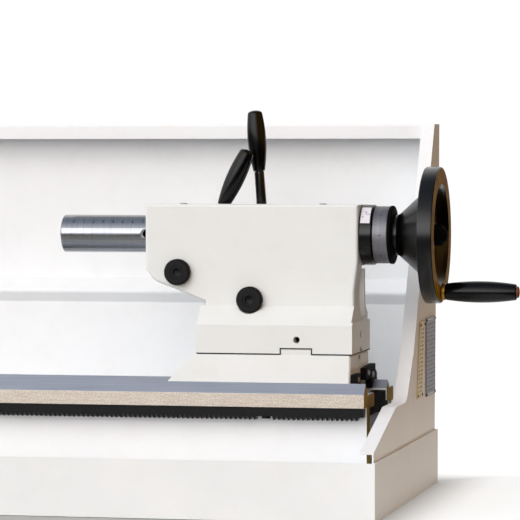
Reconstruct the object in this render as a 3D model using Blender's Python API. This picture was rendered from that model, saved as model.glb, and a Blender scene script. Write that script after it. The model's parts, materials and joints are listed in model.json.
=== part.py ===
"""Tailstock end section of an engine lathe: tailstock, bed end, chip tray and splash guard.

Frame: +X runs along the spindle axis away from the headstock, +Y to the back, +Z up.
The origin is the centre of the chip tray's underside, straight below the quill axis in Y.
Lengths are in millimetres and become metres when a mesh is made.
"""
import math

import bmesh
import bpy
from mathutils import Matrix, Vector

MM = 0.001
GAP = 0.3                     # clearance between neighbouring pieces

# ---- driving dimensions -------------------------------------------------------------
CENTRE_HEIGHT = 140.4         # quill axis above the way peaks
BED_HEIGHT = 118.0            # way peaks above the underside of the bed feet
SECTION_LENGTH = 550.0        # chip tray, guard and bed section
TRAY_WIDTH = 390.0
TRAY_RIM = 55.0
SHEET = 2.0
GUARD_SHEET = 1.5
GUARD_TOP = 110.0             # above the quill axis

BODY_LENGTH = 212.0
BARREL = 60.0                 # thickness of the barrel, front to back
BARREL_TOP = 29.4             # above the quill axis
BODY_RIGHT = 230.0            # x of the body's right face
BED_RIGHT = 246.6             # x of the bed's right end

QUILL_D = 37.0
QUILL_LENGTH = 200.0
QUILL_OUT = 89.5              # quill standing out of the body as modelled
SCREW_D = 14.0
WHEEL_D = 133.0
CRANK_RADIUS = 55.0

# ---- places that follow from them ---------------------------------------------------
BED_FLOOR = SHEET + GAP
PEAK_Z = BED_FLOOR + BED_HEIGHT
AXIS_Z = PEAK_Z + CENTRE_HEIGHT
HALF = SECTION_LENGTH / 2
TRAY_HALF = TRAY_WIDTH / 2
BODY_LEFT = BODY_RIGHT - BODY_LENGTH
BARREL_HALF = BARREL / 2
JOINT_Z = AXIS_Z - 115.5      # parting line between body and base
BED_LEFT = -HALF
QUILL_TIP = BODY_LEFT - QUILL_OUT
QUILL_END = QUILL_TIP + QUILL_LENGTH
LOCK_X, LOCK_Z = BODY_RIGHT - 178.6, AXIS_Z - 36.7      # quill lock stud
CLAMP_X, CLAMP_Z = BODY_RIGHT - 106.4, AXIS_Z - 63.1    # bed lock eccentric shaft
SETOVER_X, SETOVER_Z = BODY_RIGHT - 56.7, AXIS_Z - 101.0
QUILL_LEVER_Y, BED_LEVER_Y = 38.0, 58.0
TONGUE_X = (BODY_RIGHT - 71.8, BODY_RIGHT - 42.6)
TONGUE_H = 5.5
FOOT_BOLTS = [(x, y) for x in (-215.0, 190.0) for y in (-85.0, 80.0)]
FOOT_HOLE_R = 4.5
FLANGE_SCREWS = [90.0, 210.0, 330.0]                    # angles around the quill axis

PAINTS = {                     # base colour (linear), roughness, metallic
    "white_paint": ((0.80, 0.79, 0.76), 0.5, 0.0),
    "guard_paint": ((0.78, 0.80, 0.82), 0.45, 0.0),
    "tray_paint": ((0.62, 0.63, 0.62), 0.5, 0.0),
    "cast_paint": ((0.36, 0.25, 0.06), 0.55, 0.0),
    "bright_steel": ((0.62, 0.62, 0.64), 0.22, 1.0),
    "black_oxide": ((0.012, 0.012, 0.013), 0.35, 0.6),
    "black_plastic": ((0.008, 0.008, 0.009), 0.2, 0.0),
    "black_enamel": ((0.010, 0.010, 0.012), 0.3, 0.0),
    "satin_dial": ((0.30, 0.30, 0.31), 0.4, 1.0),
    "rubber": ((0.015, 0.015, 0.015), 0.8, 0.0),
    "brass": ((0.55, 0.36, 0.10), 0.35, 1.0),
    "plate_grey": ((0.20, 0.24, 0.32), 0.45, 0.3),
    "plate_cream": ((0.72, 0.62, 0.38), 0.5, 0.0),
}


# ---- modelling helpers --------------------------------------------------------------
def lift(axis, u, v, w):
    """A point (u, v) of a plane at height w: X planes hold (y, z), Y planes (x, z), Z planes (x, y)."""
    return {"X": (w, u, v), "Y": (u, w, v), "Z": (u, v, w)}[axis]


def prism(outline, axis, low, high):
    """The outline extruded between two planes, closed."""
    bm = bmesh.new()
    count = len(outline)
    rings = [[bm.verts.new(lift(axis, u, v, w)) for u, v in outline] for w in (low, high)]
    for ring in rings:
        bm.faces.new(ring)
    for i in range(count):
        j = (i + 1) % count
        bm.faces.new((rings[0][i], rings[0][j], rings[1][j], rings[1][i]))
    bmesh.ops.recalc_face_normals(bm, faces=bm.faces)
    return bm


def block(x, y, z):
    """A box between low and high limits."""
    return prism([(x[0], y[0]), (x[1], y[0]), (x[1], y[1]), (x[0], y[1])], "Z", z[0], z[1])


def around(centre, radius, count, start=0.0):
    """Points of a circle."""
    step = 2 * math.pi / count
    return [(centre[0] + radius * math.cos(start + i * step),
             centre[1] + radius * math.sin(start + i * step)) for i in range(count)]


def arc(centre, radius, start, end, count):
    """Points of an arc, angles in degrees, both ends included."""
    angles = [math.radians(start + (end - start) * i / count) for i in range(count + 1)]
    return [(centre[0] + radius * math.cos(a), centre[1] + radius * math.sin(a)) for a in angles]


def rod(axis, centre, radius, low, high, count=32):
    """A round bar along an axis."""
    return prism(around(centre, radius, count), axis, low, high)


def hexagon(axis, centre, across_flats, low, high):
    """A hexagonal bar along an axis."""
    return prism(around(centre, across_flats / math.sqrt(3), 6, math.pi / 6), axis, low, high)


def turned(profile, axis, centre, count=48):
    """A turned body. Profile points are (along, radius): a chain from radius 0 to radius 0
    for a solid body, or a closed loop clear of the axis for a ring."""
    bm = bmesh.new()
    rings = []
    for along, radius in profile:
        if radius < 1e-6:
            rings.append([bm.verts.new(lift(axis, centre[0], centre[1], along))])
        else:
            rings.append([bm.verts.new(lift(axis, u, v, along)) for u, v in around(centre, radius, count)])
    ring_body = profile[0][1] > 1e-6
    last = len(rings) if ring_body else len(rings) - 1
    for k in range(last):
        a, b = rings[k], rings[(k + 1) % len(rings)]
        for i in range(count):
            j = (i + 1) % count
            if len(a) == 1:
                bm.faces.new((a[0], b[i], b[j]))
            elif len(b) == 1:
                bm.faces.new((a[i], a[j], b[0]))
            else:
                bm.faces.new((a[i], a[j], b[j], b[i]))
    bmesh.ops.recalc_face_normals(bm, faces=bm.faces)
    return bm


def soften(bm, width, chosen, segments=2):
    """Round the edges for which chosen(edge) is true."""
    edges = [e for e in bm.edges if chosen(e)]
    bmesh.ops.bevel(bm, geom=edges, offset=width, offset_type="OFFSET", segments=segments,
                    profile=0.5, affect="EDGES", clamp_overlap=True)
    return bm


def on_plane(axis, value, limit=1e-3):
    """A test for edges that lie in one plane across X, Y or Z."""
    index = "XYZ".index(axis)
    return lambda edge: all(abs(v.co[index] - value) < limit for v in edge.verts)


def combine(first, second, operation):
    """One exact boolean between two closed bodies. Both inputs are used up."""
    holders = []
    for bm in (first, second):
        mesh = bpy.data.meshes.new("boolean_input")
        bm.to_mesh(mesh)
        bm.free()
        holder = bpy.data.objects.new("boolean_input", mesh)
        bpy.context.scene.collection.objects.link(holder)
        holders.append(holder)
    modifier = holders[0].modifiers.new("boolean", "BOOLEAN")
    modifier.operation = operation
    modifier.solver = "EXACT"
    modifier.object = holders[1]
    evaluated = holders[0].evaluated_get(bpy.context.evaluated_depsgraph_get())
    result = bmesh.new()
    result.from_mesh(evaluated.to_mesh())
    for holder in holders:
        mesh = holder.data
        bpy.data.objects.remove(holder)
        bpy.data.meshes.remove(mesh)
    return result


def cut(body, *tools):
    """The body with each tool taken away."""
    for tool in tools:
        body = combine(body, tool, "DIFFERENCE")
    return body


def join(body, *others):
    """The body with the others added."""
    for other in others:
        body = combine(body, other, "UNION")
    return body


def sheet_strip(path, thickness):
    """Outline of a folded sheet: a path and its copy one thickness to its left, corners mitred."""
    points = [Vector(p) for p in path]
    normals = []
    for a, b in zip(points, points[1:]):
        direction = (b - a).normalized()
        normals.append(Vector((-direction.y, direction.x)))
    offset = []
    for i, point in enumerate(points):
        before = normals[max(i - 1, 0)]
        after = normals[min(i, len(normals) - 1)]
        middle = (before + after).normalized()
        offset.append(point + middle * thickness / middle.dot(after))
    return [tuple(p) for p in points] + [tuple(p) for p in reversed(offset)]


MATERIALS = {}
FRAMES = {}


def material(name):
    """One Principled BSDF per paint or finish."""
    if name not in MATERIALS:
        colour, roughness, metallic = PAINTS[name]
        made = bpy.data.materials.new(name)
        made.use_nodes = True
        shader = made.node_tree.nodes["Principled BSDF"]
        shader.inputs["Base Color"].default_value = (*colour, 1.0)
        shader.inputs["Roughness"].default_value = roughness
        shader.inputs["Metallic"].default_value = metallic
        MATERIALS[name] = made
    return MATERIALS[name]


def moving_frame(name, pivot, parent=None):
    """An empty on a joint's axis, which carries one moving body."""
    empty = bpy.data.objects.new(name + "_frame", None)
    bpy.context.scene.collection.objects.link(empty)
    start = Vector((0, 0, 0))
    if parent:
        empty.parent = FRAMES[parent][0]
        start = FRAMES[parent][1]
    empty.location = (Vector(pivot) - start) * MM
    FRAMES[name] = (empty, Vector(pivot))


def part(name, bm, finish, frame=None):
    """Turn a mesh in millimetres into a named object on its moving frame."""
    pivot = FRAMES[frame][1] if frame else Vector((0, 0, 0))
    bmesh.ops.remove_doubles(bm, verts=bm.verts, dist=0.0005)
    bm.transform(Matrix.Scale(MM, 4) @ Matrix.Translation(-pivot))
    mesh = bpy.data.meshes.new(name)
    bm.to_mesh(mesh)
    bm.free()
    mesh.shade_smooth()
    mesh.set_sharp_from_angle(angle=math.radians(35))
    made = bpy.data.objects.new(name, mesh)
    made.data.materials.append(material(finish))
    bpy.context.scene.collection.objects.link(made)
    if frame:
        made.parent = FRAMES[frame][0]
    return made


# ---- tray and splash guard ----------------------------------------------------------
def chip_tray():
    """Folded tray, open at the left where the next section joins."""
    inner = TRAY_HALF - SHEET
    channel = [(-TRAY_HALF, 0), (TRAY_HALF, 0), (TRAY_HALF, TRAY_RIM), (inner, TRAY_RIM), (inner, SHEET),
               (-inner, SHEET), (-inner, TRAY_RIM), (-TRAY_HALF, TRAY_RIM)]
    tray = prism(channel, "X", -HALF, HALF)
    end = block((HALF - SHEET, HALF), (-TRAY_HALF, TRAY_HALF), (0, TRAY_RIM))
    tray = join(tray, end)
    holes = [rod("Z", (x, y), FOOT_HOLE_R, -1, SHEET + 1, 16) for x, y in FOOT_BOLTS]
    part("chip_tray", cut(tray, *holes), "tray_paint")


LOWER_TOP = AXIS_Z - 77.0
PANEL_RIGHT = HALF - 4.1


def splash_guard():
    """Back panels: the upper one with a folded rim and a sloping lip, the lower one on the tray."""
    top = AXIS_Z + GUARD_TOP
    upper = [(188, top - 15), (188, top), (217.5, top), (217.5, AXIS_Z - 53), (189, AXIS_Z - 65.4),
             (196, LOWER_TOP), (196, LOWER_TOP - 16)]
    part("splash_guard_upper", prism(sheet_strip(upper, -GUARD_SHEET), "X", -HALF, PANEL_RIGHT), "guard_paint")
    lower = [(194.2, LOWER_TOP - 0.5), (187.0, BED_FLOOR), (170, BED_FLOOR)]
    part("splash_guard_lower", prism(sheet_strip(lower, -GUARD_SHEET), "X", -HALF, PANEL_RIGHT), "guard_paint")


WING_OUT = HALF - SHEET - GAP
WING_IN = WING_OUT - GUARD_SHEET
WING_FLANGE = 13.5            # width of the flange and foot folded inwards


def wing_front_edge():
    """Front edge of the end wing from the top down: a straight flank, then a bend to the low cheek."""
    flank = [(184.5, AXIS_Z + GUARD_TOP), (80, 196), (48, 143)]
    bend = arc((-6.7, 122.0), 25.0, -44, -90, 6)
    return flank + bend + [(-60, 97), (-188, 64), (-188, BED_FLOOR + 2)]


def guard_end_wing():
    """End wing: one side sheet with a flange folded inwards along its front edge."""
    front = wing_front_edge()
    back = [(186.5, BED_FLOOR + 2), (194.5, LOWER_TOP), (213, AXIS_Z - 53), (217.5, AXIS_Z + GUARD_TOP)]
    side = prism(front + back, "X", WING_IN, WING_OUT)
    flange = prism(sheet_strip(front[:-1], GUARD_SHEET), "X", WING_OUT - WING_FLANGE, WING_OUT)
    foot = block((WING_OUT - WING_FLANGE, WING_OUT), (-188, 168), (BED_FLOOR, BED_FLOOR + GUARD_SHEET + 1))
    part("guard_end_wing", join(side, flange, foot), "guard_paint")


PLATE = 0.8                   # thickness of the plates


def side_plates():
    """Two blank plates on the wing's outer face."""
    face = WING_OUT + GAP
    part("data_plate", block((face, face + PLATE), (125, 185), (93, 173)), "plate_grey")
    chart = prism([(85, 171), (118, 171), (100, 95), (67, 95)], "X", face, face + PLATE)
    part("chart_plate", chart, "plate_cream")


# ---- bed ----------------------------------------------------------------------------
RAIL_UNDER = PEAK_Z - 24.6    # underside of the rail flanges, where the clamp bears
REAR_PEAK = (50.0, PEAK_Z - 4.6)
REAR_FLAT = PEAK_Z - 12.6
FRONT_FLAT = PEAK_Z - 11.6
RIB_COUNT, RIB_SPACING, RIB_THICKNESS = 5, 120.0, 14.0


def bed_casting():
    """Two rails with V and flat ways, on walls with feet, tied by cross ribs."""
    front = [(-90, -10), (-80, 0), (-68.4, -11.6), (-67.4, -12.6), (-66.4, -12.6), (-65.4, -11.6), (-33, -11.6),
             (-31, -13.6), (-31, -24.6),
             (-56, -24.6), (-56, -108), (-50, -110), (-50, -118), (-97, -118), (-97, -110), (-76, -110), (-74, -107),
             (-74, -23), (-90, -23)]
    rear = [(42, -12.6), (50, -4.6), (58, -12.6), (80, -12.6), (82, -14.6), (82, -27), (71, -27), (71, -107),
            (72, -110), (92, -110), (92, -118), (44, -118), (44, -110), (51, -110), (57, -108), (57, -24.6),
            (42, -24.6)]
    rails = [prism([(y, PEAK_Z + z) for y, z in outline], "X", BED_LEFT, BED_RIGHT) for outline in (front, rear)]
    bed = rails[0]
    for i in range(RIB_COUNT):
        x = BED_LEFT + 2 + i * RIB_SPACING
        bed = join(bed, block((x, x + RIB_THICKNESS), (-65, 61), (BED_FLOOR + 4, RAIL_UNDER - 42)))
    bed = join(bed, rails[1])
    holes = [rod("Z", (x, y), FOOT_HOLE_R, -1, 30, 16) for x, y in FOOT_BOLTS]
    holes += [rod("Z", (STOP_X, y), 2.6, RAIL_UNDER - 1, RAIL_UNDER + 9, 16) for y in STOP_SCREWS]
    holes += [rod("Z", (x, RACK_Y), 2.6, RACK_TOP - 5, RACK_TOP + 12, 12) for x in RACK_SCREWS]
    part("bed_casting", cut(bed, *holes), "cast_paint")


RACK_Y = -82.0
RACK_TOP = PEAK_Z - 23.0 - GAP
RACK_SCREWS = (-180.0, 150.0)
RACK_HEIGHT = 12.0


def feed_rack():
    """Rack bar under the front rail, held by two screws from below."""
    rack = block((BED_LEFT + 5, BED_RIGHT - 1), (RACK_Y - 6, RACK_Y + 6), (RACK_TOP - RACK_HEIGHT, RACK_TOP))
    tools = []
    for x in RACK_SCREWS:
        tools += [rod("Z", (x, RACK_Y), 2.8, RACK_TOP - 20, RACK_TOP + 5, 16),
                  rod("Z", (x, RACK_Y), 4.6, RACK_TOP - 20, RACK_TOP - 6, 20)]
    part("feed_rack", cut(rack, *tools), "black_oxide")
    for i, x in enumerate(RACK_SCREWS):
        head = rod("Z", (x, RACK_Y), 4.25, RACK_TOP - 11, RACK_TOP - 6.3, 20)
        shank = rod("Z", (x, RACK_Y), 2.4, RACK_TOP - 7, RACK_TOP + 11, 16)
        socket = hexagon("Z", (x, RACK_Y), 4, RACK_TOP - 12, RACK_TOP - 8.5)
        part(f"rack_screw_{i + 1}", cut(join(head, shank), socket), "black_oxide")


STOP_X = BED_RIGHT - 7.0
STOP_SCREWS = (-43.0, 49.5)


def bed_end_stop():
    """Bar between the rails at the bed's end, screwed up against their undersides. It stops the clamp."""
    seat, foot = RAIL_UNDER - GAP, RAIL_UNDER - 8.0
    top = PEAK_Z - 14.5
    outline = [(-53, foot), (55, foot), (55, seat), (42 - GAP, seat), (42 - GAP, top), (-31 + GAP, top),
               (-31 + GAP, seat), (-53, seat)]
    bar = prism(outline, "X", STOP_X - 6, STOP_X + 6)
    holes = [rod("Z", (STOP_X, y), 2.8, foot - 1, seat + 1, 16) for y in STOP_SCREWS]
    part("bed_end_stop", cut(bar, *holes), "black_oxide")
    for i, y in enumerate(STOP_SCREWS):
        head = rod("Z", (STOP_X, y), 4.2, foot - 4.3, foot - GAP, 20)
        shank = rod("Z", (STOP_X, y), 2.4, foot - 1, RAIL_UNDER + 8, 16)
        socket = hexagon("Z", (STOP_X, y), 4, foot - 5, foot - 2)
        part(f"stop_screw_{i + 1}", cut(join(head, shank), socket), "black_oxide")


def foot_bolts():
    """Hexagon bolts through the bed feet and the tray."""
    seat = PEAK_Z - 110 + GAP
    for i, (x, y) in enumerate(FOOT_BOLTS):
        head = hexagon("Z", (x, y), 13, seat + 0.6, seat + 6.0)
        shank = rod("Z", (x, y), 4.2, GAP, seat + 1.5, 16)
        part(f"foot_bolt_{i + 1}", join(head, shank), "bright_steel")


# ---- tailstock base -----------------------------------------------------------------
BASE_RIGHT = BODY_RIGHT - 3.4
BASE_TOP = JOINT_Z - GAP
SLOT_REACH = 6.5              # half the set-over travel, plus room
BASE_BOTTOM = REAR_FLAT + GAP


def base_casting():
    """Base on the inner ways: a flat pad at the front, a V groove at the back, a tongue on top."""
    groove = REAR_PEAK[1] + GAP * math.sqrt(2)
    depth = groove - BASE_BOTTOM
    pad = FRONT_FLAT + GAP
    outline = [(-50, BASE_TOP), (52, BASE_TOP), (54, 131), (66, 123), (66, BASE_BOTTOM),
               (REAR_PEAK[0] + depth, BASE_BOTTOM), (REAR_PEAK[0], groove), (REAR_PEAK[0] - depth, BASE_BOTTOM),
               (33, BASE_BOTTOM), (33, pad + 8), (-36, pad + 8), (-36, pad), (-54, pad), (-54, pad + 5)]
    left_top, left_foot = BODY_RIGHT - 159, BODY_RIGHT - 184
    base = prism(outline, "X", left_foot, BASE_RIGHT)
    base = soften(base, 1.5, on_plane("X", BASE_RIGHT), 1)
    wedge = prism([(left_top, BASE_TOP + 1), (left_top, BASE_TOP), (left_foot, 118.4), (left_foot - 5, 118.4),
                   (left_foot - 5, BASE_TOP + 1)], "Y", -80, 80)
    base = cut(base, wedge)
    tongue = block(TONGUE_X, (-49.7, 51.7), (BASE_TOP - 3, BASE_TOP + TONGUE_H))
    lug = block((SETOVER_X - 9, SETOVER_X + 9), (-6, 8), (BASE_TOP, SETOVER_Z + 8))
    base = join(base, tongue, lug)
    slot = prism([(CLAMP_X + u, v) for u, v in arc((0, SLOT_REACH), 8.5, 0, 180, 10)
                  + arc((0, -SLOT_REACH), 8.5, 180, 360, 10)], "Z", 90, 170)
    part("base_casting", cut(base, slot), "white_paint", "tailstock_base")


def way_wipers():
    """Rubber wipers in black holders on the base's right face."""
    left = BASE_RIGHT + GAP
    front = block((left, left + 5), (-53.5, -22), (FRONT_FLAT + GAP, PEAK_Z + 6.5))
    part("way_wiper_front", front, "rubber", "tailstock_base")
    low, peak = REAR_FLAT + GAP, REAR_PEAK[1] + GAP * math.sqrt(2)
    depth = peak - low
    outline = [(3, 118), (33, 118), (33, low), (REAR_PEAK[0] - depth, low), (REAR_PEAK[0], peak),
               (REAR_PEAK[0] + depth, low), (66, low), (66, 122), (57, 126), (57, 131.5), (3, 130)]
    part("way_wiper_rear", prism(outline, "X", left, left + 6), "rubber", "tailstock_base")


def setover_screws():
    """Grub screws front and back, bearing on the base's lug."""
    for name, frame, near, far in (("setover_screw_front", "setover_front", -6 - GAP, -36),
                                   ("setover_screw_rear", "setover_rear", 8 + GAP, 38)):
        low, high = min(near, far), max(near, far)
        screw = rod("Y", (SETOVER_X, SETOVER_Z), 3.0, low, high, 20)
        outer = (low - 1, low + 4) if far < near else (high - 4, high + 1)
        socket = hexagon("Y", (SETOVER_X, SETOVER_Z), 3, *outer)
        part(name, cut(screw, socket), "black_oxide", frame)


# ---- tailstock body -----------------------------------------------------------------
def body_casting():
    """Barrel with a split nose on a narrow web, which flares into a wide foot."""
    def at(x, z):
        return (BODY_RIGHT + x, AXIS_Z + z)

    nose = [at(-151.5, -65.3), at(-200, -46.6), at(-204.5, -43.8), at(-209, -37.5), at(-212, -34)]
    corner_l, corner_r = at(-212, BARREL_TOP), at(0, BARREL_TOP)
    front = [corner_l, corner_r, at(0, -26), at(-3.5, -54), at(-3.5, -78), at(-151.5, -78)] + nose
    front_slab = prism(front, "Y", -BARREL_HALF, -4)
    front_slab = soften(front_slab, 2.6, lambda e: on_plane("Y", -BARREL_HALF)(e)
                        and max(v.co.z for v in e.verts) > AXIS_Z - 70, 3)
    rear = [corner_l, corner_r, at(0, -30), at(-140, -30), at(-140, -65.3)] + nose
    rear_slab = prism(rear, "Y", -8, BARREL_HALF)
    rear_slab = soften(rear_slab, 4.0, lambda e: on_plane("Y", BARREL_HALF)(e), 3)
    foot_z = AXIS_Z - 85
    flare = [(52, JOINT_Z), (52, foot_z)] + arc((24, foot_z + 26), 24, 270, 180, 8) + [(0, AXIS_Z - 20)]
    foot = prism([(-50, JOINT_Z)] + flare + [(-10, AXIS_Z - 20), (-10, AXIS_Z - 69), (-30, AXIS_Z - 69),
                 (-50, AXIS_Z - 87)], "X", BODY_RIGHT - 156, BODY_RIGHT - 2)
    boss = rod("Y", (CLAMP_X, CLAMP_Z), 19, -12, 44, 40)
    outer = arc((24, foot_z + 26), 24.5, 180, 262, 8)
    inner = arc((24, foot_z + 26), 17.5, 262, 180, 8)
    bead = prism([(-0.5, AXIS_Z - 33)] + outer + inner + [(6.5, AXIS_Z - 33)], "X", BODY_RIGHT - 12, BODY_RIGHT + 1)
    keep = BODY_RIGHT - 3.5
    web_end = prism([(keep, AXIS_Z - 84), (keep, AXIS_Z - 10), (keep + 9, AXIS_Z - 10), (keep + 9, AXIS_Z - 84)],
                    "Y", -60, 60)
    body = join(cut(foot, web_end), rear_slab, front_slab, boss, bead)
    part("body_casting", cut(body, *body_openings()), "white_paint", "tailstock_body")


def body_openings():
    """Everything bored, slotted and drilled in the body."""
    tools = [rod("X", (0, AXIS_Z), QUILL_D / 2 + GAP, BODY_LEFT - 5, BODY_RIGHT + 5, 40)]
    tools.append(block((BODY_LEFT - 5, BODY_LEFT + 66), (-1.5, 1.5), (AXIS_Z - 80, AXIS_Z - 10)))
    tools.append(rod("Y", (LOCK_X, LOCK_Z), 7.3, -40, 40, 28))
    tools.append(rod("Y", (CLAMP_X, CLAMP_Z), 10.3, -40, 60, 36))
    tools.append(rod("Y", (CLAMP_X, CLAMP_Z), 13.8, -60, -BARREL_HALF, 36))
    tools.append(rod("Y", (CLAMP_X, CLAMP_Z), 17.4, -8.3, 8.3, 40))
    tools.append(rod("Z", (CLAMP_X, 0), 8.5, JOINT_Z - 5, CLAMP_Z - 8, 28))
    low, high = TONGUE_X
    tools.append(block((low - GAP, high + GAP), (-70, 70), (JOINT_Z - 5, JOINT_Z + TONGUE_H)))
    tools.append(block((SETOVER_X - 10, SETOVER_X + 10), (-14, 16), (JOINT_Z - 5, SETOVER_Z + 9)))
    tools.append(rod("Y", (SETOVER_X, SETOVER_Z), 3.3, -70, 70, 24))
    for angle in FLANGE_SCREWS:
        tools.append(rod("X", flange_screw_place(angle), 3.3, BODY_RIGHT - 16, BODY_RIGHT + 5, 16))
    tools.append(rod("Y", (KEY_X, AXIS_Z), 4.3, 10, 40, 20))
    for x in OILER_X:
        tools.append(rod("Z", (x, 0), 3.3, AXIS_Z + 10, AXIS_Z + 40, 20))
    return tools


KEY_X = 100.0
OILER_X = (50.0, 190.0)


def body_fittings():
    """Key screw behind the quill and two oilers on top."""
    screw = turned([(15.4, 0), (15.4, 2.7), (18.9, 2.7), (18.9, 4.0), (28.6, 4.0), (28.6, 0)], "Y", (KEY_X, AXIS_Z), 20)
    socket = hexagon("Y", (KEY_X, AXIS_Z), 4, 25, 30)
    part("quill_key_screw", cut(screw, socket), "black_oxide", "tailstock_body")
    top = AXIS_Z + BARREL_TOP
    for i, x in enumerate(OILER_X):
        profile = [(top - 8, 0), (top - 8, 3.0), (top + GAP, 3.0), (top + GAP, 3.9), (top + 0.8, 3.9),
                   (top + 1.3, 2.2), (top + 1.3, 0)]
        part(f"oiler_{i + 1}", turned(profile, "Z", (x, 0), 20), "brass", "tailstock_body")


def flange_screw_place(angle):
    """Centre (y, z) of the flange screw at an angle around the quill axis."""
    reach = 23.2
    return reach * math.cos(math.radians(angle)), AXIS_Z + reach * math.sin(math.radians(angle))


FLANGE_LEFT = BODY_RIGHT + GAP
FLANGE_RIGHT = BODY_RIGHT + 13.0
FLANGE_R = 29.5


def bearing_flange():
    """Black flange with a spigot in the bore, three screws, a zero plate and the thrust bearing."""
    spigot = BODY_RIGHT - 14
    profile = [(spigot, 8.4), (spigot, 18.4), (FLANGE_LEFT, 18.4), (FLANGE_LEFT, FLANGE_R - 1),
               (FLANGE_LEFT + 1, FLANGE_R), (FLANGE_RIGHT - 1, FLANGE_R), (FLANGE_RIGHT, FLANGE_R - 1),
               (FLANGE_RIGHT, 8.4)]
    flange = turned(profile, "X", (0, AXIS_Z), 40)
    places = [flange_screw_place(angle) for angle in FLANGE_SCREWS]
    seat = FLANGE_RIGHT - 5.8
    stepped = [(FLANGE_LEFT - 2, 0), (FLANGE_LEFT - 2, 3.3), (seat, 3.3), (seat, 4.8),
               (FLANGE_RIGHT + 2, 4.8), (FLANGE_RIGHT + 2, 0)]
    tools = [turned(stepped, "X", centre, 16) for centre in places]
    part("bearing_flange", cut(flange, *tools), "black_enamel", "tailstock_body")
    for i, centre in enumerate(places):
        head = rod("X", centre, 4.4, FLANGE_RIGHT - 5.5, FLANGE_RIGHT - 0.5, 20)
        shank = rod("X", centre, 3.0, BODY_RIGHT - 14, FLANGE_RIGHT - 4, 16)
        socket = hexagon("X", centre, 4, FLANGE_RIGHT - 3, FLANGE_RIGHT + 1)
        part(f"flange_screw_{i + 1}", cut(join(head, shank), socket), "black_oxide", "tailstock_body")
    band = arc((0, AXIS_Z), FLANGE_R + GAP, 118, 157, 8) + arc((0, AXIS_Z), FLANGE_R + 1.0, 157, 118, 8)
    part("zero_plate", prism(band, "X", BODY_RIGHT + 1.8, BODY_RIGHT + 11.2), "white_paint", "tailstock_body")
    race = [(spigot - 5.2, 8.6), (spigot - 5.2, 16), (spigot - 0.4, 16), (spigot - 0.4, 8.6)]
    part("thrust_bearing", turned(race, "X", (0, AXIS_Z), 24), "bright_steel", "tailstock_body")


# ---- quill and feed screw -----------------------------------------------------------
def quill():
    """Quill with a taper socket, a drift slot at its end, a keyway behind and a seat for the nut."""
    taper_end = QUILL_TIP + 81
    nut_seat = QUILL_END - 22
    r = QUILL_D / 2
    profile = [(QUILL_TIP, 12.6), (QUILL_TIP, r - 1), (QUILL_TIP + 1, r), (QUILL_END - 1, r), (QUILL_END, r - 1),
               (QUILL_END, 13.0), (nut_seat, 13.0), (nut_seat, 7.6), (taper_end, 7.6), (taper_end, 9.9),
               (QUILL_TIP + 1, 11.9)]
    slot = prism(arc((BODY_RIGHT - 215, AXIS_Z), 5, 90, 270, 10) + arc((BODY_RIGHT - 190, AXIS_Z), 5, 270, 450, 10),
                 "Y", -30, 30)
    keyway = block((KEY_X - 82, QUILL_END + 5), (14.9, 30), (AXIS_Z - 3, AXIS_Z + 3))
    part("quill", cut(turned(profile, "X", (0, AXIS_Z), 40), slot, keyway), "bright_steel", "quill")
    nut = [(nut_seat + GAP, SCREW_D / 2 + GAP), (nut_seat + GAP, 12.7), (QUILL_END - 0.2, 12.7),
           (QUILL_END - 0.2, SCREW_D / 2 + GAP)]
    part("quill_nut", turned(nut, "X", (0, AXIS_Z), 24), "brass", "quill")


COLLAR = (BODY_RIGHT - 23.6, BODY_RIGHT - 19.6)
SLEEVE_LEFT = FLANGE_RIGHT + 0.4
HUB_FACE = BODY_RIGHT + 70
SHAFT_R = 8.0


def feed_screw():
    """Screw, thrust collar, journal and threaded end."""
    profile = [(80, 0), (80, 5), (82, SCREW_D / 2), (COLLAR[0], SCREW_D / 2), (COLLAR[0], 14), (COLLAR[1], 14),
               (COLLAR[1], SHAFT_R), (HUB_FACE - 1, SHAFT_R), (HUB_FACE - 1, 6), (HUB_FACE + 10, 6),
               (HUB_FACE + 11, 5), (HUB_FACE + 11, 0)]
    keyslot = block((BODY_RIGHT + 39.7, BODY_RIGHT + 62.3), (-2.8, 2.8), (AXIS_Z + 5.2, AXIS_Z + 12))
    part("feed_screw", cut(turned(profile, "X", (0, AXIS_Z), 24), keyslot), "bright_steel", "feed_screw")
    key = block((BODY_RIGHT + 40, BODY_RIGHT + 62), (-2.5, 2.5), (AXIS_Z + 5.5, AXIS_Z + 10.3))
    part("wheel_key", key, "bright_steel", "feed_screw")
    nut = cut(hexagon("X", (0, AXIS_Z), 18, HUB_FACE + GAP, HUB_FACE + 9),
              rod("X", (0, AXIS_Z), 6.3, HUB_FACE - 1, HUB_FACE + 12, 24))
    part("wheel_nut", nut, "black_oxide", "feed_screw")


DIAL = (FLANGE_RIGHT + 0.4, BODY_RIGHT + 27.4)
SLEEVE_R = 20.0


def dial_and_ring():
    """Dial on the wheel's sleeve, with the lock ring beside it."""
    bore = SLEEVE_R + GAP
    left, right = DIAL
    dial = [(left, bore), (left, 27.9), (right - 2, 27.9), (right, 26.6), (right, bore)]
    part("dial", turned(dial, "X", (0, AXIS_Z), 40), "satin_dial", "dial")
    left, right = BODY_RIGHT + 27.7, BODY_RIGHT + 31.5
    ring = [(left, bore), (left, 28.0), (left + 0.6, 28.5), (right - 1.2, 28.5), (right, 27.0), (right, bore)]
    part("dial_lock_ring", turned(ring, "X", (0, AXIS_Z), 32), "black_enamel", "feed_screw")


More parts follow.
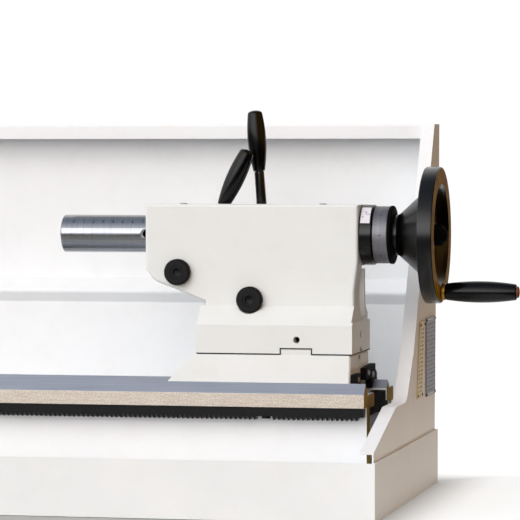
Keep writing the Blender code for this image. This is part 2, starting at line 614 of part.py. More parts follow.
def handwheel():
    """Dished handwheel: sleeve, neck, cone, back, deep rim with a flat machined face, and hub."""
    x = BODY_RIGHT
    rim = WHEEL_D / 2
    outer = [(SLEEVE_LEFT, SHAFT_R + GAP), (SLEEVE_LEFT, SLEEVE_R), (x + 36.5, SLEEVE_R), (x + 56, 36),
             (x + 58, 45), (x + 61, rim - 5.5), (x + 63, rim - 2), (x + 65.5, rim - 0.4), (x + 68, rim)]
    inner = [(x + 76.9, rim), (x + 77.7, rim - 0.8), (x + 77.7, 46), (x + 74, 44.5), (x + 68, 41), (x + 65, 36),
             (x + 64.5, 20), (HUB_FACE, 17), (HUB_FACE, SHAFT_R + GAP)]
    keyway = block((SLEEVE_LEFT - 2, HUB_FACE + 2), (-2.8, 2.8), (AXIS_Z, AXIS_Z + 10.6))
    pin_hole = rod("X", (0, AXIS_Z - CRANK_RADIUS), 4.3, x + 66, x + 80, 20)
    wheel = cut(turned(outer + inner, "X", (0, AXIS_Z), 48), keyway, pin_hole)
    part("handwheel", wheel, "black_enamel", "feed_screw")


def crank():
    """Pin screwed into the rim and the grip that turns on it."""
    x, centre = BODY_RIGHT, (0, AXIS_Z - CRANK_RADIUS)
    pin = [(x + 67, 0), (x + 67, 4), (x + 78, 4), (x + 78, 8.3), (x + 81.5, 8.3), (x + 81.5, 4), (x + 151.4, 4),
           (x + 151.4, 6), (x + 153.4, 5.4), (x + 154, 4), (x + 154, 0)]
    part("crank_pin", turned(pin, "X", centre, 16), "brass", "feed_screw")
    low, high = x + 81.9, x + 151.1
    barrel = [(low + (high - low) * t, grip_radius(t, 8.1, 10.5, 7.8)) for t in [i / 8 for i in range(9)]]
    grip = [(low, 4.3)] + barrel + [(high, 4.3)]
    part("crank_grip", turned(grip, "X", centre, 24), "black_plastic", "crank_grip")


def grip_radius(t, start, middle, end):
    """Radius along a barrel-shaped grip: straight taper plus a parabola that peaks near the middle."""
    taper = start + (end - start) * t
    return taper + (middle - (start + end) / 2) * 4 * t * (1 - t)


# ---- levers -------------------------------------------------------------------------
def lever(prefix, frame, pivot, lean, length, plane, hub):
    """A hub across the shaft, a round rod and a barrel grip, leaning by an angle from upright."""
    grip_length = 61.0
    hub_body = turned([(hub[0], hub[3]), (hub[0], hub[2] - 1), (hub[0] + 1, hub[2]), (hub[1] - 1, hub[2]),
                       (hub[1], hub[2] - 1), (hub[1], hub[3])], "Y", pivot, 28)
    turn = Matrix.Translation((pivot[0], plane, pivot[1])) @ Matrix.Rotation(math.radians(lean), 4, "Y")
    neck = length - grip_length
    socket = rod("Z", (0, 0), 4.6, hub[3] + 2.6, hub[2] + 8, 16)
    socket.transform(turn)
    part(prefix + "_hub", cut(hub_body, socket), "black_enamel", frame)
    shaft = turned([(hub[3] + 3, 0), (hub[3] + 3, 4.2), (hub[2] + 0.5, 4.2), (hub[2] + 0.5, 5.5), (neck - GAP, 5.0),
                    (neck - GAP, 3.8), (neck + 22, 3.8), (neck + 22, 0)], "Z", (0, 0), 16)
    shaft.transform(turn)
    part(prefix + "_rod", shaft, "black_enamel", frame)
    steps = [i / 8 for i in range(9)]
    barrel = [(neck + (grip_length - 3) * t, grip_radius(t, 6.0, 9.25, 7.3)) for t in steps]
    grip = [(neck, 0), *barrel, (length - 1.2, 6.4), (length, 4.0), (length, 0)]
    body = cut(turned(grip, "Z", (0, 0), 20), rod("Z", (0, 0), 4.1, neck - 2, neck + 23, 16))
    body.transform(turn)
    part(prefix + "_grip", body, "black_plastic", frame)


def knurled_head(centre, high, length, socket):
    """Cap head of the two cross shafts, with a hexagon socket in its front face."""
    flutes = 20
    low = high - length
    points = []
    for i in range(flutes * 2):
        radius = 13.0 if i % 2 == 0 else 12.4
        angle = math.pi * i / flutes
        points.append((centre[0] + radius * math.cos(angle), centre[1] + radius * math.sin(angle)))
    head = prism(points, "Y", low, high)
    return cut(head, hexagon("Y", centre, socket, low - 1, low + 5))


def quill_lock():
    """Stud across the split nose, with its lever behind."""
    centre = (LOCK_X, LOCK_Z)
    head = knurled_head(centre, -BARREL_HALF - GAP, 7.5, 8)
    stud = join(head, rod("Y", centre, 7.0, -BARREL_HALF - 2, 48, 28))
    part("quill_lock_stud", stud, "black_oxide", "quill_lock")
    lever("quill_lock", "quill_lock", centre, 25.0, 131.9, QUILL_LEVER_Y,
          (BARREL_HALF + GAP, BARREL_HALF + 15.7, 13.0, 7.3))


ECCENTRIC = 1.0


def bed_lock():
    """Cross shaft with an eccentric middle, its lever behind, and the clamp that it lifts."""
    centre = (CLAMP_X, CLAMP_Z)
    head = knurled_head(centre, -BARREL_HALF - GAP, 7.5, 8)
    front = rod("Y", centre, 10.0, -BARREL_HALF - 2, -8.4, 24)
    middle = rod("Y", (CLAMP_X, CLAMP_Z - ECCENTRIC), 8.0, -10, 10, 20)
    back = turned([(8.4, 0), (8.4, 10), (44, 10), (44, 8), (72, 8), (72, 0)], "Y", centre, 24)
    part("eccentric_shaft", join(front, middle, back, head), "black_oxide", "bed_lock")
    lever("bed_lock", "bed_lock", centre, -4.3, 186.3, BED_LEVER_Y, (44 + GAP, 71.5, 16.0, 8.3))


def clamp():
    """Eye bolt on the eccentric, plate under the rails and nut."""
    low_z = RAIL_UNDER - GAP - 16
    eye = rod("Y", (CLAMP_X, CLAMP_Z), 15.0, -7.6, 7.6, 36)
    shank = rod("Z", (CLAMP_X, 0), 7.0, low_z - 19, CLAMP_Z - 10, 28)
    top = arc((CLAMP_X, CLAMP_Z + 1.2), 9.8, 0, 180, 14)
    bottom = arc((CLAMP_X, CLAMP_Z - 1.2), 9.8, 180, 360, 14)
    part("clamp_bolt", cut(join(eye, shank), prism(top + bottom, "Y", -12, 12)), "bright_steel", "clamp")
    plate = soften(block((CLAMP_X - 30, CLAMP_X + 30), (-47, 50), (low_z, RAIL_UNDER - GAP)), 2.0,
                   lambda e: on_plane("Z", low_z)(e), 2)
    plate = cut(plate, rod("Z", (CLAMP_X, 0), 7.4, low_z - 5, RAIL_UNDER + 5, 28))
    part("clamp_plate", plate, "cast_paint", "clamp")
    nut = cut(hexagon("Z", (CLAMP_X, 0), 22, low_z - GAP - 13, low_z - GAP),
              rod("Z", (CLAMP_X, 0), 7.3, low_z - 20, low_z + 5, 28))
    part("clamp_nut", nut, "black_oxide", "clamp")


# ---- assembly -----------------------------------------------------------------------
def clear_scene():
    """Start from an empty scene."""
    for old in list(bpy.data.objects):
        bpy.data.objects.remove(old)


def joint_frames():
    """One empty on each joint's axis, each under the body that carries it."""
    moving_frame("tailstock_base", (CLAMP_X, 0, JOINT_Z))
    moving_frame("setover_front", (SETOVER_X, -21, SETOVER_Z), "tailstock_base")
    moving_frame("setover_rear", (SETOVER_X, 23, SETOVER_Z), "tailstock_base")
    moving_frame("tailstock_body", (CLAMP_X, 0, JOINT_Z), "tailstock_base")
    moving_frame("quill", (BODY_LEFT, 0, AXIS_Z), "tailstock_body")
    moving_frame("feed_screw", (BODY_RIGHT, 0, AXIS_Z), "tailstock_body")
    moving_frame("dial", (BODY_RIGHT + 20, 0, AXIS_Z), "feed_screw")
    moving_frame("crank_grip", (BODY_RIGHT + 116, 0, AXIS_Z - CRANK_RADIUS), "feed_screw")
    moving_frame("quill_lock", (LOCK_X, QUILL_LEVER_Y, LOCK_Z), "tailstock_body")
    moving_frame("bed_lock", (CLAMP_X, BED_LEVER_Y, CLAMP_Z), "tailstock_body")
    moving_frame("clamp", (CLAMP_X, 0, CLAMP_Z), "tailstock_body")


def main():
    clear_scene()
    joint_frames()
    chip_tray()
    splash_guard()
    guard_end_wing()
    side_plates()
    bed_casting()
    feed_rack()
    bed_end_stop()
    foot_bolts()
    base_casting()
    way_wipers()
    setover_screws()
    body_casting()
    body_fittings()
    bearing_flange()
    quill()
    feed_screw()
    dial_and_ring()
    handwheel()
    crank()
    quill_lock()
    bed_lock()
    clamp()


main()
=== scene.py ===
# %% [markdown]
# # The tailstock end of an engine lathe
# This notebook dresses a finished machine frame. The frame already holds every casting, shaft and screw
# at its real size. Here we give each surface the finish it has in a workshop, and we model again the
# pieces whose shape is finer than the frame needs: turned wheels, engraved scales, knurls and grips.
# The lesson is one idea used over and over: a shape is a function of two parameters, worked out with
# numpy as a whole grid of points, and then handed to Blender.

# %% Load the frame
import json
import math

import bmesh
import bpy
import numpy as np
from mathutils import Matrix, Vector


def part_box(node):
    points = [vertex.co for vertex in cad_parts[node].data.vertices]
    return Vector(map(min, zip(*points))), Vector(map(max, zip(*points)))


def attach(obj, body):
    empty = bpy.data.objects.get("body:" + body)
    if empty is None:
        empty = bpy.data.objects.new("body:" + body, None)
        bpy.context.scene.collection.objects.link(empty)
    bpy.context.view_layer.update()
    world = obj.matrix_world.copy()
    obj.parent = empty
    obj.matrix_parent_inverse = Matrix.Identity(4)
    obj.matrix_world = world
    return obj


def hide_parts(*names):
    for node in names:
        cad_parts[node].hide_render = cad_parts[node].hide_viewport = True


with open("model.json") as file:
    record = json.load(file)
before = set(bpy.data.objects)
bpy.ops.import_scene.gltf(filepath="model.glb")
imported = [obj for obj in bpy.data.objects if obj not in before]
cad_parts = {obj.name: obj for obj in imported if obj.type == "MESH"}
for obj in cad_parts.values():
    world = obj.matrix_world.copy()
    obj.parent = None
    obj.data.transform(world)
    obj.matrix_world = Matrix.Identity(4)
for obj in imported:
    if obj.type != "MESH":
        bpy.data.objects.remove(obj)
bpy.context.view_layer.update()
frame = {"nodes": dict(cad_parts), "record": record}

# %% [markdown]
# ## Where things are
# Every place is read from the frame, so nothing has to be fitted by eye. A node's box gives its lowest and
# highest corner. The quill's box gives the axis that most turned pieces share.

# %% Places read from the frame
MM = 0.001


def middle(node):
    """Centre of a node's box."""
    low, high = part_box(node)
    return (low + high) / 2


QUILL_LOW, QUILL_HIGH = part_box("quill")
AXIS_Y, AXIS_Z = middle("quill").y, middle("quill").z
QUILL_R = (QUILL_HIGH.z - QUILL_LOW.z) / 2
BODY_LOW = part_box("body_casting")[0]
WHEEL_LOW, WHEEL_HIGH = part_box("handwheel")
WHEEL_R = (WHEEL_HIGH.z - WHEEL_LOW.z) / 2
FLANGE_LOW, FLANGE_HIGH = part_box("bearing_flange")
SPIGOT = 13.7 * MM                 # how far the flange reaches into the body
BODY_RIGHT = FLANGE_LOW.x + SPIGOT
PEAK_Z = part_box("bed_casting")[1].z
print("quill axis at y %.4f z %.4f, body from x %.4f to %.4f" % (AXIS_Y, AXIS_Z, BODY_LOW.x, BODY_RIGHT))

# %% [markdown]
# ## The camera
# The camera has a long lens and stands a little to the right and slightly above. It comes first, because
# the framing decides how much detail each piece needs. A long lens keeps parallel edges nearly parallel,
# which is why the quill and the ways stay level.

# %% Camera
SENSOR = 36.0
FOCAL_IN_WIDTHS = 6.173            # focal length divided by the frame's width
CAMERA_YAW, CAMERA_PITCH = math.radians(11.7), math.radians(1.856)

camera_data = bpy.data.cameras.new("studio_camera")
camera_data.sensor_width = SENSOR
camera_data.lens = SENSOR * FOCAL_IN_WIDTHS
camera_data.clip_end = 60
camera = bpy.data.objects.new("studio_camera", camera_data)
bpy.context.scene.collection.objects.link(camera)
camera.location = (BODY_RIGHT + 0.5382, AXIS_Y - 3.0946, AXIS_Z + 0.0770)
camera.rotation_euler = (math.pi / 2 - CAMERA_PITCH, 0, CAMERA_YAW)
bpy.context.scene.camera = camera
print("camera at", tuple(round(c, 3) for c in camera.location))

# %% [markdown]
# ## Colours and shader nodes
# A colour picked from a swatch is an sRGB value, while shaders add light in linear numbers. One function
# does the conversion, and one more adds any shader node with its settings and links.

# %% Helpers for materials


def linear(hex_colour):
    """sRGB hex to linear RGBA. Each channel c becomes c/12.92 below 0.04045, else ((c+0.055)/1.055)^2.4."""
    c = np.array([int(hex_colour[i:i + 2], 16) / 255 for i in (1, 3, 5)])
    c = np.where(c <= 0.04045, c / 12.92, ((c + 0.055) / 1.055) ** 2.4)
    return (*[float(v) for v in c], 1.0)


def add(tree, kind, settings=None, **inputs):
    """Add one node. settings are attributes; inputs are socket values, or sockets to link from."""
    made = tree.nodes.new(kind)
    for key, value in (settings or {}).items():
        setattr(made, key, value)
    for key, value in inputs.items():
        name = key.replace("_", " ")
        socket = made.inputs[int(name[1:])] if name[0] == "i" and name[1:].isdigit() else made.inputs[name]
        if isinstance(value, bpy.types.NodeSocket):
            tree.links.new(value, socket)
        else:
            socket.default_value = value
    return made


def new_material(name):
    """An empty material with a Principled shader. Returns the material, its tree and the shader."""
    made = bpy.data.materials.new(name)
    made.use_nodes = True
    tree = made.node_tree
    shader = tree.nodes["Principled BSDF"]
    return made, tree, shader


def place(tree, scale=(1, 1, 1)):
    """Object coordinates, stretched per axis. The pattern stays fixed to the piece."""
    coordinates = add(tree, "ShaderNodeTexCoord").outputs["Object"]
    return add(tree, "ShaderNodeMapping", Vector=coordinates, Scale=scale).outputs["Vector"]


def noise(tree, where, per_metre, detail=4.0, roughness=0.55):
    """Fractal noise with a feature size of one over per_metre."""
    return add(tree, "ShaderNodeTexNoise", Vector=where, Scale=per_metre, Detail=detail,
               Roughness=roughness).outputs["Fac"]


def ramp(tree, factor, low, high, colour_low, colour_high):
    """A two-stop colour ramp between two positions."""
    made = add(tree, "ShaderNodeValToRGB", Fac=factor)
    stops = made.color_ramp.elements
    stops[0].position, stops[1].position = low, high
    stops[0].color, stops[1].color = colour_low, colour_high
    return made.outputs["Color"]


def bump(tree, height, strength, distance, onto=None):
    """A bump of some distance in metres, on top of another one where given."""
    links = {"Height": height, "Strength": strength, "Distance": distance}
    if onto is not None:
        links["Normal"] = onto
    return add(tree, "ShaderNodeBump", **links).outputs["Normal"]


def remap(tree, value, low, high):
    """A 0..1 value stretched to low..high."""
    return add(tree, "ShaderNodeMapRange", Value=value, To_Min=low, To_Max=high).outputs["Result"]


def smooth_rise(tree, value, low, high, top=1.0):
    """0 below low, top above high, and 3 t^2 - 2 t^3 between them."""
    return add(tree, "ShaderNodeMapRange", {"interpolation_type": "SMOOTHSTEP"}, Value=value, From_Min=low,
               From_Max=high, To_Max=top).outputs["Result"]


def arithmetic(tree, operation, first, second=0.0):
    """One number from two."""
    return add(tree, "ShaderNodeMath", {"operation": operation}, i0=first, i1=second).outputs[0]


def mix(tree, factor, first, second, blend="MIX"):
    """Mix two colours."""
    return add(tree, "ShaderNodeMix", {"data_type": "RGBA", "blend_type": blend}, i0=factor, i6=first,
               i7=second).outputs[2]


MATERIALS = {}


def finish(name):
    """A finished material by name."""
    return MATERIALS[name]


# %% [markdown]
# ## Machine enamel over a filled casting
# A good casting is filled, rubbed down and sprayed, and it still shows low waves a few centimetres long and
# a fine orange peel. Both are bumps here: the waves are why a big white side never looks like a sheet of
# plastic. Oily hands leave faint, soft clouds in the colour, never hard spots.

# %% Paints


def enamel(name, colour, shade, peel, waves, gloss, shine=0.5):
    """Sprayed enamel: colour drifting to a shade, waves about 60 mm long, orange peel about 1.2 mm wide."""
    made, tree, shader = new_material(name)
    where = place(tree)
    drift = noise(tree, where, 14, 3)
    base = ramp(tree, drift, 0.3, 0.75, linear(shade), linear(colour))
    film = ramp(tree, noise(tree, where, 45, 6, 0.65), 0.5, 0.8, linear("#FFFFFF"), linear("#F3F0EA"))
    base = mix(tree, 0.3, base, film, "MULTIPLY")
    normal = bump(tree, noise(tree, where, 16, 2), waves, 0.0012)
    normal = bump(tree, noise(tree, where, 800, 2), peel, 0.0001, normal)
    tree.links.new(base, shader.inputs["Base Color"])
    tree.links.new(remap(tree, drift, gloss - 0.05, gloss + 0.08), shader.inputs["Roughness"])
    tree.links.new(normal, shader.inputs["Normal"])
    shader.inputs["Specular IOR Level"].default_value = shine
    MATERIALS[name] = made
    return made


enamel("warm_white_machine_enamel", "#E9EAE9", "#E4E5E3", 0.25, 0.5, 0.42)
enamel("light_grey_powder_coat", "#F3F4F5", "#EFF0F2", 0.5, 0.25, 0.46)
enamel("tray_pale_enamel", "#ECEDEE", "#E6E8E9", 0.35, 0.3, 0.5)
enamel("gloss_black_enamel", "#040405", "#030303", 0.12, 0.15, 0.2, 0.42)
enamel("ochre_primer", "#B08A0C", "#745A06", 0.6, 0.8, 0.6, 0.15)
print("paints:", sorted(MATERIALS))

# %% [markdown]
# ## Steel that was ground, turned or blackened
# Grinding leaves fine scratches in one direction. A noise pattern squeezed across the scratches and
# stretched along them gives that lay. On the ways it runs along X, on the quill it runs around the axis.
# A metal takes its colour from what it reflects, so its base colour is nearly neutral.

# %% Metals


def ground_metal(name, colour, shade, roughness, stretch, depth, mottled=0.0):
    """Bright metal with a lay. stretch is the number of marks per metre along x, y and z."""
    made, tree, shader = new_material(name)
    marks = noise(tree, place(tree, stretch), 1.0, 5, 0.6)
    cloud = noise(tree, place(tree), 30, 4)
    base = ramp(tree, marks, 0.3, 0.7, linear(shade), linear(colour))
    if mottled:
        spots = ramp(tree, noise(tree, place(tree), 700, 6, 0.75), 0.42, 0.6, linear("#8F8578"),
                     linear("#FFFFFF"))
        base = mix(tree, mottled, base, spots, "MULTIPLY")
    tree.links.new(base, shader.inputs["Base Color"])
    shader.inputs["Metallic"].default_value = 1.0
    worn = arithmetic(tree, "ADD", remap(tree, cloud, -0.06, 0.08),
                      remap(tree, marks, roughness - 0.04, roughness + 0.06))
    tree.links.new(worn, shader.inputs["Roughness"])
    tree.links.new(bump(tree, marks, depth, 0.00004), shader.inputs["Normal"])
    MATERIALS[name] = made
    return made


ground_metal("ground_quill_steel", "#B0B2B6", "#96989D", 0.2, (2600, 30, 30), 0.3)
ground_metal("ground_way_steel", "#E4E5EA", "#CDCED6", 0.38, (12, 1500, 1500), 0.5)
ground_metal("coarse_ground_face", "#EEE6DD", "#D9CDC0", 0.55, (60, 500, 500), 0.8, 0.4)
ground_metal("turned_steel", "#B5B6BA", "#96979B", 0.28, (1800, 40, 40), 0.4)
ground_metal("satin_chrome", "#96959B", "#7F7E84", 0.5, (1500, 60, 60), 0.45)
ground_metal("turned_brass", "#B98A3E", "#96692A", 0.34, (1500, 60, 60), 0.4)
ground_metal("cast_clamp_iron", "#5E5B55", "#45423D", 0.6, (300, 300, 300), 1.0, 0.6)


def turned_lacquered_face(name, colour, shade):
    """Face of the wheel's rim, turned flat and lacquered: fine rings around the wheel's axis.
    The distance from the axis, sqrt(y^2 + z^2), drives a wave with a pitch of 0.9 mm. The lacquer hides
    the metal, so this is a dielectric."""
    made, tree, shader = new_material(name)
    coordinates = add(tree, "ShaderNodeTexCoord").outputs["Object"]
    centred = add(tree, "ShaderNodeMapping", Vector=coordinates, Location=(0, -AXIS_Y, -AXIS_Z),
                  Scale=(0, 1, 1)).outputs["Vector"]
    radius = add(tree, "ShaderNodeVectorMath", {"operation": "LENGTH"}, i0=centred).outputs["Value"]
    wave = arithmetic(tree, "SINE", arithmetic(tree, "MULTIPLY", radius, 2 * math.pi / 0.0009))
    cloud = noise(tree, place(tree), 60, 5)
    tree.links.new(ramp(tree, cloud, 0.3, 0.7, linear(shade), linear(colour)), shader.inputs["Base Color"])
    shader.inputs["Specular IOR Level"].default_value = 0.15
    tree.links.new(remap(tree, cloud, 0.5, 0.65), shader.inputs["Roughness"])
    tree.links.new(bump(tree, wave, 0.5, 0.00004), shader.inputs["Normal"])
    MATERIALS[name] = made


turned_lacquered_face("ochre_lacquered_rim", "#B48E0C", "#7A6006")
print("metals added, now", len(MATERIALS), "finishes")

# %% [markdown]
# ## Plastics, rubber and print
# Lever grips are pressed from phenolic resin and polished, so they have a clear gloss with only faint
# flow marks. Wipers are oil-proof rubber: dull, with a little bloom. Scales are cut and filled with
# black paint, and the plates are screen printed.

# %% Plastics, rubber and print


def moulded(name, colour, shade, roughness, coat, grain, depth, shine=0.4):
    """A dielectric surface with faint flow marks and a grain of 1/grain metres."""
    made, tree, shader = new_material(name)
    where = place(tree)
    flow = noise(tree, where, 55, 3)
    tree.links.new(ramp(tree, flow, 0.3, 0.7, linear(shade), linear(colour)), shader.inputs["Base Color"])
    tree.links.new(remap(tree, flow, roughness - 0.03, roughness + 0.05), shader.inputs["Roughness"])
    shader.inputs["Coat Weight"].default_value = coat
    shader.inputs["Coat Roughness"].default_value = 0.08
    shader.inputs["Specular IOR Level"].default_value = shine
    tree.links.new(bump(tree, noise(tree, where, grain, 3), depth, 0.00006), shader.inputs["Normal"])
    MATERIALS[name] = made


moulded("polished_phenolic", "#050506", "#030304", 0.2, 0.12, 700, 0.15, 0.2)
moulded("chemical_black_steel", "#0B0B0D", "#070708", 0.38, 0.0, 900, 0.5, 0.22)
moulded("matt_black_lacquer", "#060606", "#040404", 0.75, 0.0, 900, 0.3, 0.08)
moulded("oil_proof_rubber", "#121110", "#0B0A0A", 0.75, 0.0, 1600, 0.8, 0.15)
moulded("black_scale_filler", "#17171A", "#0E0E10", 0.6, 0.0, 1500, 0.5)
moulded("white_plate_enamel", "#E9E5EC", "#DAD6DE", 0.35, 0.2, 900, 0.2)
moulded("cream_printed_plate", "#E4D3A0", "#D6C28A", 0.4, 0.15, 900, 0.2)
moulded("blue_grey_printed_plate", "#66708A", "#58627C", 0.38, 0.2, 900, 0.2)
moulded("dark_print", "#2E3440", "#262B36", 0.5, 0.0, 900, 0.2)
moulded("brown_sealing_wax", "#8A4B26", "#6E3A1C", 0.4, 0.1, 900, 0.3)
print("all finishes:", len(MATERIALS))

# %% [markdown]
# ## Surfaces as grids
# Nearly every piece here is a grid: rows along one direction, columns along the other. `grid_mesh` turns
# an array of points with shape (rows, columns, 3) into a mesh, closing it round where asked. The faces are
# worked out as whole index arrays, so ten thousand of them cost no more code than ten.

# %% Helpers for surfaces


def show(mesh, name, *finishes, smooth=32):
    """Make an object of a mesh, give it its finishes, and shade it smooth up to an angle."""
    made = bpy.data.objects.new(name, mesh)
    bpy.context.scene.collection.objects.link(made)
    for each in finishes:
        mesh.materials.append(finish(each))
    mesh.shade_smooth()
    mesh.set_sharp_from_angle(angle=math.radians(smooth))
    return made


def grid_mesh(name, points, close_rows=False, close_columns=True, caps=True, zones=None):
    """Faces between neighbouring rows and columns of a grid of points.
    Corner k of the face at (row i, column j) is point (i + di, j + dj), both taken round where closed.
    Flat caps close the first and last row. zones gives each band of rows its finish number."""
    points = np.asarray(points, float)
    rows, columns = points.shape[:2]
    i, j = np.meshgrid(np.arange(rows if close_rows else rows - 1),
                       np.arange(columns if close_columns else columns - 1), indexing="ij")
    corners = [((i + di) % rows) * columns + (j + dj) % columns
               for di, dj in ((0, 0), (0, 1), (1, 1), (1, 0))]
    faces = np.stack(corners, -1).reshape(-1, 4).tolist()
    bands = np.repeat(np.arange(i.shape[0]), i.shape[1]) if zones is not None else None
    marks = [zones[b] for b in bands] if zones is not None else []
    if caps and not close_rows:
        faces += [list(range(columns))[::-1], [(rows - 1) * columns + c for c in range(columns)]]
        marks += [zones[0], zones[-1]] if zones is not None else []
    mesh = bpy.data.meshes.new(name)
    mesh.from_pydata(points.reshape(-1, 3).tolist(), [], faces)
    if zones is not None:
        mesh.polygons.foreach_set("material_index", marks)
    face_outwards(mesh)
    return mesh


def face_outwards(mesh):
    """Merge doubles and turn every face outwards."""
    bm = bmesh.new()
    bm.from_mesh(mesh)
    bmesh.ops.remove_doubles(bm, verts=bm.verts, dist=1e-7)
    bmesh.ops.recalc_face_normals(bm, faces=bm.faces)
    bm.to_mesh(mesh)
    bm.free()


def rounded(profile, radius, steps=5):
    """Round a profile's corners. Each inner corner becomes a short curve between two points, both a
    distance back along its sides, by the formula (1-t)^2 a + 2t(1-t) corner + t^2 b."""
    profile = [np.array(p, float) for p in profile]
    out = [profile[0]]
    t = np.linspace(0, 1, steps)[:, None]
    for before, corner, after in zip(profile, profile[1:], profile[2:]):
        to_before, to_after = before - corner, after - corner
        back = min(radius, 0.45 * np.linalg.norm(to_before), 0.45 * np.linalg.norm(to_after))
        a = corner + to_before / np.linalg.norm(to_before) * back
        b = corner + to_after / np.linalg.norm(to_after) * back
        out.extend((1 - t) ** 2 * a + 2 * t * (1 - t) * corner + t ** 2 * b)
    out.append(profile[-1])
    return np.array(out)


def on_body(piece, body, replaced=None):
    """Say which body carries a piece, and which node it replaces, if it does."""
    if replaced:
        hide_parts(replaced)
    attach(piece, body)
    return piece


def refined(node, name, body, slot, *finishes, bevel=0.6):
    """A CAD node made fit for close looks: its loose triangles merged back into faces, its edges eased
    by a small bevel, since no real edge is a knife. The original is hidden and keeps its collision."""
    mesh = frame["nodes"][node].data.copy()
    mesh.materials.clear()
    bm = bmesh.new()
    bm.from_mesh(mesh)
    bmesh.ops.remove_doubles(bm, verts=bm.verts, dist=2e-6)
    bmesh.ops.dissolve_limit(bm, angle_limit=math.radians(0.6), verts=bm.verts, edges=bm.edges)
    bm.to_mesh(mesh)
    bm.free()
    mesh.name = name
    made = show(mesh, name, *finishes, smooth=30)
    ease = made.modifiers.new("eased_edges", "BEVEL")
    ease.width = bevel * MM
    ease.segments = 2
    ease.limit_method = "ANGLE"
    ease.angle_limit = math.radians(38)
    ease.use_clamp_overlap = True
    ease.harden_normals = True
    made.modifiers.new("flat_faces", "WEIGHTED_NORMAL").keep_sharp = True
    return on_body(made, body, node)


print("surface helpers ready")

# %% [markdown]
# ## The castings
# Body and base keep the frame's shape. Only their edges are eased, because a filled and painted casting
# has soft corners, and the enamel does the rest. The bed is the same, with ground steel on the ways and
# paint below.

# %% Castings
for part, bevel in (("body", 0.5), ("base", 0.8)):
    refined(part + "_casting", "painted_" + part, "tailstock_" + part, "casting_enamel",
            "warm_white_machine_enamel", bevel=bevel)
print("castings eased")

# %% [markdown]
# The bed's finish depends on where a face lies. The slopes and flats of the ways were ground, the front
# face below the V was hardened and ground coarser, the sawn right end got primer, the undercut below the
# front face is black enamel as painted shade, and the rest was painted. So the faces are sorted by the
# place and direction of their middle.

# %% Bed
bed = refined("bed_casting", "bed_section", "bed", "ground_way_iron", "light_grey_powder_coat",
              "ground_way_steel", "coarse_ground_face", "ochre_primer", "gloss_black_enamel", bevel=0.4)
bed_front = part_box("bed_casting")[0].y


def sort_bed_faces(mesh):
    """Number each face's finish: 1 ways, 2 front face, 3 sawn end, 4 undercut in black as painted shade, else
    paint.
    """
    count = len(mesh.polygons)
    centre, normal = np.empty(count * 3), np.empty(count * 3)
    mesh.polygons.foreach_get("center", centre)
    mesh.polygons.foreach_get("normal", normal)
    centre, normal = centre.reshape(-1, 3), normal.reshape(-1, 3)
    kind = np.zeros(count, int)
    depth = (PEAK_Z - centre[:, 2]) / MM
    kind[(depth < 14) & (normal[:, 2] > 0.3)] = 1
    kind[(depth < 23) & (normal[:, 1] < -0.9) & (centre[:, 1] < bed_front + 12 * MM)] = 2
    kind[normal[:, 0] > 0.9] = 3
    # the undercut's downward faces get black enamel: painted shade under the front way
    kind[(depth > 22) & (depth < 26) & (normal[:, 2] < -0.9)] = 4
    mesh.polygons.foreach_set("material_index", kind)


sort_bed_faces(bed.data)
print("bed faces by finish:", np.bincount([p.material_index for p in bed.data.polygons]))

# %% [markdown]
# ## Folded sheet metal
# The splash guard is thin sheet, bent on a press brake, so each bend has a small radius. A folded sheet is
# a profile with a thickness, carried along X: we round the profile's corners, offset it by the sheet's
# thickness, and extrude.

# %% Guard panels


def offset_profile(path, thickness):
    """A path and the same path moved sideways by a thickness, as one closed outline.
    Each point moves along the mean of its neighbours' normals, lengthened at corners by one over the
    cosine of half the turn, so that the sheet keeps its thickness."""
    path = np.asarray(path, float)
    step = np.diff(path, axis=0)
    normal = np.stack([-step[:, 1], step[:, 0]], 1) / np.linalg.norm(step, axis=1)[:, None]
    before = np.vstack([normal[:1], normal])
    after = np.vstack([normal, normal[-1:]])
    mean = before + after
    mean /= np.linalg.norm(mean, axis=1)[:, None]
    side = path + mean * thickness / np.sum(mean * after, 1)[:, None]
    return np.vstack([path, side[::-1]])


def sheet_along_x(name, path, thickness, x_low, x_high, finish_name):
    """A folded sheet: its (y, z) path, rounded and thickened, at both ends of its length."""
    outline = offset_profile(path, thickness)
    ends = np.array([[(x, y, z) for y, z in outline] for x in (x_low, x_high)])
    return show(grid_mesh(name, ends), name, finish_name, smooth=40)


SHEET = 1.5 * MM
POWDER = "light_grey_powder_coat"
upper_low, upper_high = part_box("splash_guard_upper")
lower_low, lower_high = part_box("splash_guard_lower")
lip_z = AXIS_Z - 53 * MM
nose_z = AXIS_Z - 65.4 * MM
fold_z = lower_high.z + 0.5 * MM
upper_path = [(upper_low.y, upper_high.z - 15 * MM), (upper_low.y, upper_high.z), (upper_high.y, upper_high.z),
              (upper_high.y, lip_z), (upper_low.y + 1 * MM, nose_z), (upper_low.y + 8 * MM, fold_z),
              (upper_low.y + 8 * MM, fold_z - 16 * MM)]
lower_path = [(lower_high.y, lower_high.z), (lower_high.y - 7.2 * MM, lower_low.z), (lower_low.y, lower_low.z)]
for side, path, bend in (("upper", upper_path, 2.2 * MM), ("lower", lower_path, 2.0 * MM)):
    panel = sheet_along_x(side + "_guard_panel", rounded(path, bend), -SHEET, upper_low.x, upper_high.x,
                          POWDER)
    on_body(panel, "bed", "splash_guard_" + side)
refined("guard_end_wing", "end_wing", "bed", "guard_enamel", POWDER, bevel=0.5)
refined("chip_tray", "folded_tray", "bed", "tray_enamel", "tray_pale_enamel", bevel=0.7)
print("guard panels folded")

# %% [markdown]
# ## Many small parts from one array
# Graduations, numerals, rivets and printed rows are equal small pieces in many places. Each kind is one
# template, and numpy adds the places to it, so a hundred ticks are one mesh made in one step. Numerals
# start as text, become a mesh, and are wrapped round their cylinder as points.

# %% Helpers for rings, marks and numerals


